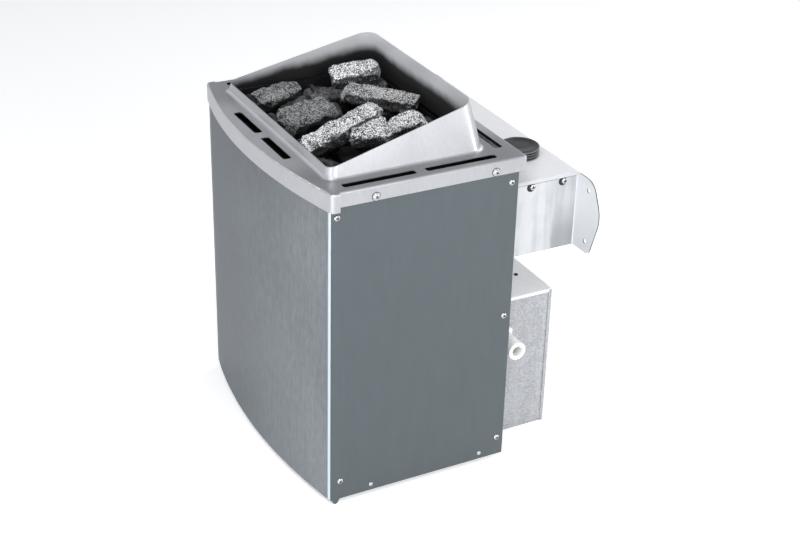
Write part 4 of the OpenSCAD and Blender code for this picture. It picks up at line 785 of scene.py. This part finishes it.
def toPlainMesh(obj):
    # the object's modifiers made into its mesh
    dg = bpy.context.evaluated_depsgraph_get()
    mesh = bpy.data.meshes.new_from_object(obj.evaluated_get(dg))
    obj.modifiers.clear()
    old = obj.data
    obj.data = mesh
    bpy.data.meshes.remove(old)


def makeHead(k):
    # pan head with its top at zero, its shaft below
    r, t = k["head"], k["rise"]
    profile = [(0, 0)] + [(r * a, -t * b) for a, b in headCurve]
    low = -t
    if k["washer"]:
        w, wt = k["washer"]
        profile += [(w * 0.98, -t), (w, -t - wt * 0.3), (w, -t - wt)]
        low -= wt
    profile += [(k["shaft"], low), (k["shaft"], -t - k["length"] + 0.0004),
                (k["shaft"] * 0.7, -t - k["length"]), (0, -t - k["length"])]
    head = makeLathe("head", profile, 28)
    if k["recess"]:
        span, width, depth = recessShares
        cutter = makeCross("cutter", r * span, r * width, t * depth)
        cut = head.modifiers.new("recess", "BOOLEAN")
        cut.operation, cut.object, cut.solver = "DIFFERENCE", cutter, "EXACT"
        toPlainMesh(head)
        bpy.data.objects.remove(cutter)
    recessShade = head.data.attributes.new("recess", "FLOAT", "FACE")
    for f, spot in zip(head.data.polygons, recessShade.data):
        f.use_smooth = True
        inner = f.center.xy.length < r * 0.75 and -0.9 * t < f.center.z < -0.25 * t
        spot.value = 1.0 if k["recess"] and inner else 0.0
    head.data.set_sharp_from_angle(angle=math.radians(38))
    return head


def makePlacingTree():
    # one head at each point, out along the stored direction and turned by chance about itself
    tree = bpy.data.node_groups.new("placeHeads", "GeometryNodeTree")
    face = tree.interface
    face.new_socket("Points", in_out="INPUT", socket_type="NodeSocketGeometry")
    face.new_socket("Head", in_out="INPUT", socket_type="NodeSocketObject")
    face.new_socket("Size", in_out="INPUT", socket_type="NodeSocketFloat").default_value = 1.0
    face.new_socket("Turn Seed", in_out="INPUT", socket_type="NodeSocketInt")
    face.new_socket("Finish", in_out="INPUT", socket_type="NodeSocketMaterial")
    face.new_socket("Heads", in_out="OUTPUT", socket_type="NodeSocketGeometry")
    n = tree.nodes
    given, out = n.new("NodeGroupInput"), n.new("NodeGroupOutput")
    info, place = n.new("GeometryNodeObjectInfo"), n.new("GeometryNodeInstanceOnPoints")
    facing = n.new("GeometryNodeInputNamedAttribute")
    facing.data_type = "FLOAT_VECTOR"
    facing.inputs["Name"].default_value = "facing"
    align = n.new("FunctionNodeAlignRotationToVector")
    align.axis = "Z"
    chance = n.new("FunctionNodeRandomValue")
    chance.data_type = "FLOAT"
    low, high = [i for i in chance.inputs if i.name in ("Min", "Max") and i.enabled]
    low.default_value, high.default_value = 0.0, math.tau
    spin = n.new("ShaderNodeCombineXYZ")
    turn = n.new("FunctionNodeEulerToRotation")
    both = n.new("FunctionNodeRotateRotation")
    both.rotation_space = "LOCAL"
    real, paint = n.new("GeometryNodeRealizeInstances"), n.new("GeometryNodeSetMaterial")
    link = tree.links.new
    link(given.outputs["Points"], place.inputs["Points"])
    link(given.outputs["Head"], info.inputs["Object"])
    link(info.outputs["Geometry"], place.inputs["Instance"])
    link([o for o in facing.outputs if o.enabled and o.name == "Attribute"][0], align.inputs["Vector"])
    link(given.outputs["Turn Seed"], chance.inputs["Seed"])
    link([o for o in chance.outputs if o.enabled][0], spin.inputs["Z"])
    link(spin.outputs[0], turn.inputs[0])
    link(align.outputs[0], both.inputs["Rotation"])
    link(turn.outputs[0], both.inputs["Rotate By"])
    link(both.outputs[0], place.inputs["Rotation"])
    link(given.outputs["Size"], place.inputs["Scale"])
    link(place.outputs[0], real.inputs[0])
    link(real.outputs[0], paint.inputs["Geometry"])
    link(given.outputs["Finish"], paint.inputs["Material"])
    link(paint.outputs[0], out.inputs["Heads"])
    return tree


placingTree = makePlacingTree()


def headPlaces(node):
    # outer end and outward direction of each screw of a node
    places = []
    for part in looseParts(node):
        spots = [v.co.copy() for v in part.data.vertices]
        low = Vector([min(c[i] for c in spots) for i in range(3)])
        high = Vector([max(c[i] for c in spots) for i in range(3)])
        mid = (low + high) / 2
        mean = sum(spots, Vector()) / len(spots)
        axis = max(range(3), key=lambda i: abs(mean[i] - mid[i]))
        reach = [(sum((c[i] - mid[i]) ** 2 for i in range(3) if i != axis), c[axis]) for c in spots]
        wide = max(r for r, _ in reach)
        heads = [a for r, a in reach if r > wide * 0.98]
        sign = 1 if sum(heads) / len(heads) > mid[axis] else -1
        end = mid.copy()
        end[axis] = high[axis] if sign > 0 else low[axis]
        places.append((end, Vector([sign if i == axis else 0 for i in range(3)])))
        bpy.data.objects.remove(part)
    return sorted(places, key=lambda p: tuple(round(c, 4) for c in p[0]))


def setInputs(modifier, values):
    # a modifier's inputs are set by the socket's identifier
    for item in modifier.node_group.interface.items_tree:
        if item.item_type == "SOCKET" and item.in_out == "INPUT" and item.name in values:
            modifier[item.identifier] = values[item.name]


def makeHeads(node, kind, seed):
    head = makeHead(kind)
    places = headPlaces(node)
    mesh = bpy.data.meshes.new(kind["name"])
    mesh.from_pydata([p for p, _ in places], [], [])
    facing = mesh.attributes.new("facing", "FLOAT_VECTOR", "POINT")
    for spot, (_, way) in zip(facing.data, places):
        spot.vector = way
    obj = addObject(kind["name"], mesh)
    maker = obj.modifiers.new("placeHeads", "NODES")
    maker.node_group = placingTree
    setInputs(maker, {"Head": head, "Size": 1.0, "Turn Seed": seed, "Finish": finishes[kind["finish"]]})
    toPlainMesh(obj)
    bpy.data.objects.remove(head)
    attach(obj, "heater")
    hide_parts(node)
    return obj


for seed, (node, kind) in enumerate(headKinds.items()):
    made = makeHeads(node, kind, seed + 3)
    print("stage:", kind["name"], len(made.data.polygons), "faces")

# Thin dark rings under the heads as painted shadow, round the frame screws and beside the bracket screws: drop
# is from the head's top, shift along y, where the shade of the hole behind shows
darkRings = {
    "frameRings": dict(node="frame_screws", radius=0.0060, bore=0.0021, thick=0.0004, bevel=0.0002,
                       drop=0.0032, shift=0.0, steps=40),
    "bracketRings": dict(node="bracket_screws", radius=0.0062, bore=0.0021, thick=0.0005, bevel=0.0002,
                         drop=0.0024, shift=-0.0026, steps=40),
}


def makeRings(name, k):
    outline = [(k["bore"], 0), (k["radius"] - k["bevel"], 0), (k["radius"], -k["bevel"]),
               (k["radius"], -k["thick"]), (k["bore"], -k["thick"])]
    bm = bmesh.new()
    for end, way in headPlaces(k["node"]):
        turn = way.to_track_quat("Z", "Y").to_matrix().to_4x4()
        place = Matrix.Translation(end - way * (k["drop"] - k["thick"]) + Vector((0, k["shift"], 0))) @ turn
        rings = [addRing(bm, r, z, k["steps"], place) for r, z in outline]
        for one, two in zip(rings, rings[1:] + rings[:1]):
            joinRings(bm, one, two)
    obj = objectFrom(name, bm)
    # painted shadow: the rings take the black rubber's colour
    obj.data.materials.append(finishes["blackRubberAndShadow"])
    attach(obj, "heater")


for name, ring in darkRings.items():
    makeRings(name, ring)
print("stage: dark rings")

capLook = {
    "radius": 0.027, "bore": 0.0173, "top": 0.002,      # bore over the neck's thread and thickness above it
    "ribs": 3, "ribDepth": 0.0016, "ribStart": 0.0004, "ribEnd": 0.0112,
    # one rib and its groove: height as a share of the pitch, depth as a share of the rib's
    "ribCurve": [(0.28, 0), (0.44, 0.4), (0.56, 1), (0.92, 1)], "ribEdge": 0.0002, "foot": 0.0006,
    "round": 0.0016, "dish": 0.0205, "dishEdge": 0.0012, "dishDepth": 0.0007, "crown": 0.0003,
    "steps": 96,
}


def makeCap(look):
    # turned cap with ribs round its side and a shallow dish in its top
    lowCorner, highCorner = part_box("filler_cap")
    z0, z1 = lowCorner[2], highCorner[2]
    mid = ((lowCorner[0] + highCorner[0]) / 2, (lowCorner[1] + highCorner[1]) / 2)
    r = look["radius"]
    tall = z1 - z0
    profile = [(0, tall - look["top"]), (look["bore"], tall - look["top"]), (look["bore"], 0),
               (r - look["foot"], 0)]
    pitch = (look["ribEnd"] - look["ribStart"]) / look["ribs"]
    for k in range(look["ribs"]):
        z = look["ribStart"] + k * pitch
        profile += [(r, z + look["ribEdge"])]
        profile += [(r - look["ribDepth"] * depth, z + pitch * up) for up, depth in look["ribCurve"]]
    profile += [(r, look["ribEnd"])]
    for k in range(1, 6):
        a = k / 5 * math.pi / 2
        profile.append((r - look["round"] * (1 - math.cos(a)), tall - look["round"] * (1 - math.sin(a))))
    profile += [(look["dish"] + look["dishEdge"], tall), (look["dish"], tall - look["dishDepth"]),
                (look["dish"] * 0.5, tall - look["dishDepth"] + look["crown"] * 0.7),
                (0, tall - look["dishDepth"] + look["crown"])]
    cap = makeLathe("ribbedCap", profile, look["steps"])
    cap.data.transform(Matrix.Translation((mid[0], mid[1], z0)))
    for f in cap.data.polygons:
        f.use_smooth = True
    cap.data.set_sharp_from_angle(angle=math.radians(35))
    cap.data.materials.append(finishes["capPlastic"])
    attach(cap, "filler_cap")
    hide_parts("filler_cap")


makeCap(capLook)
print("stage: ribbed cap")
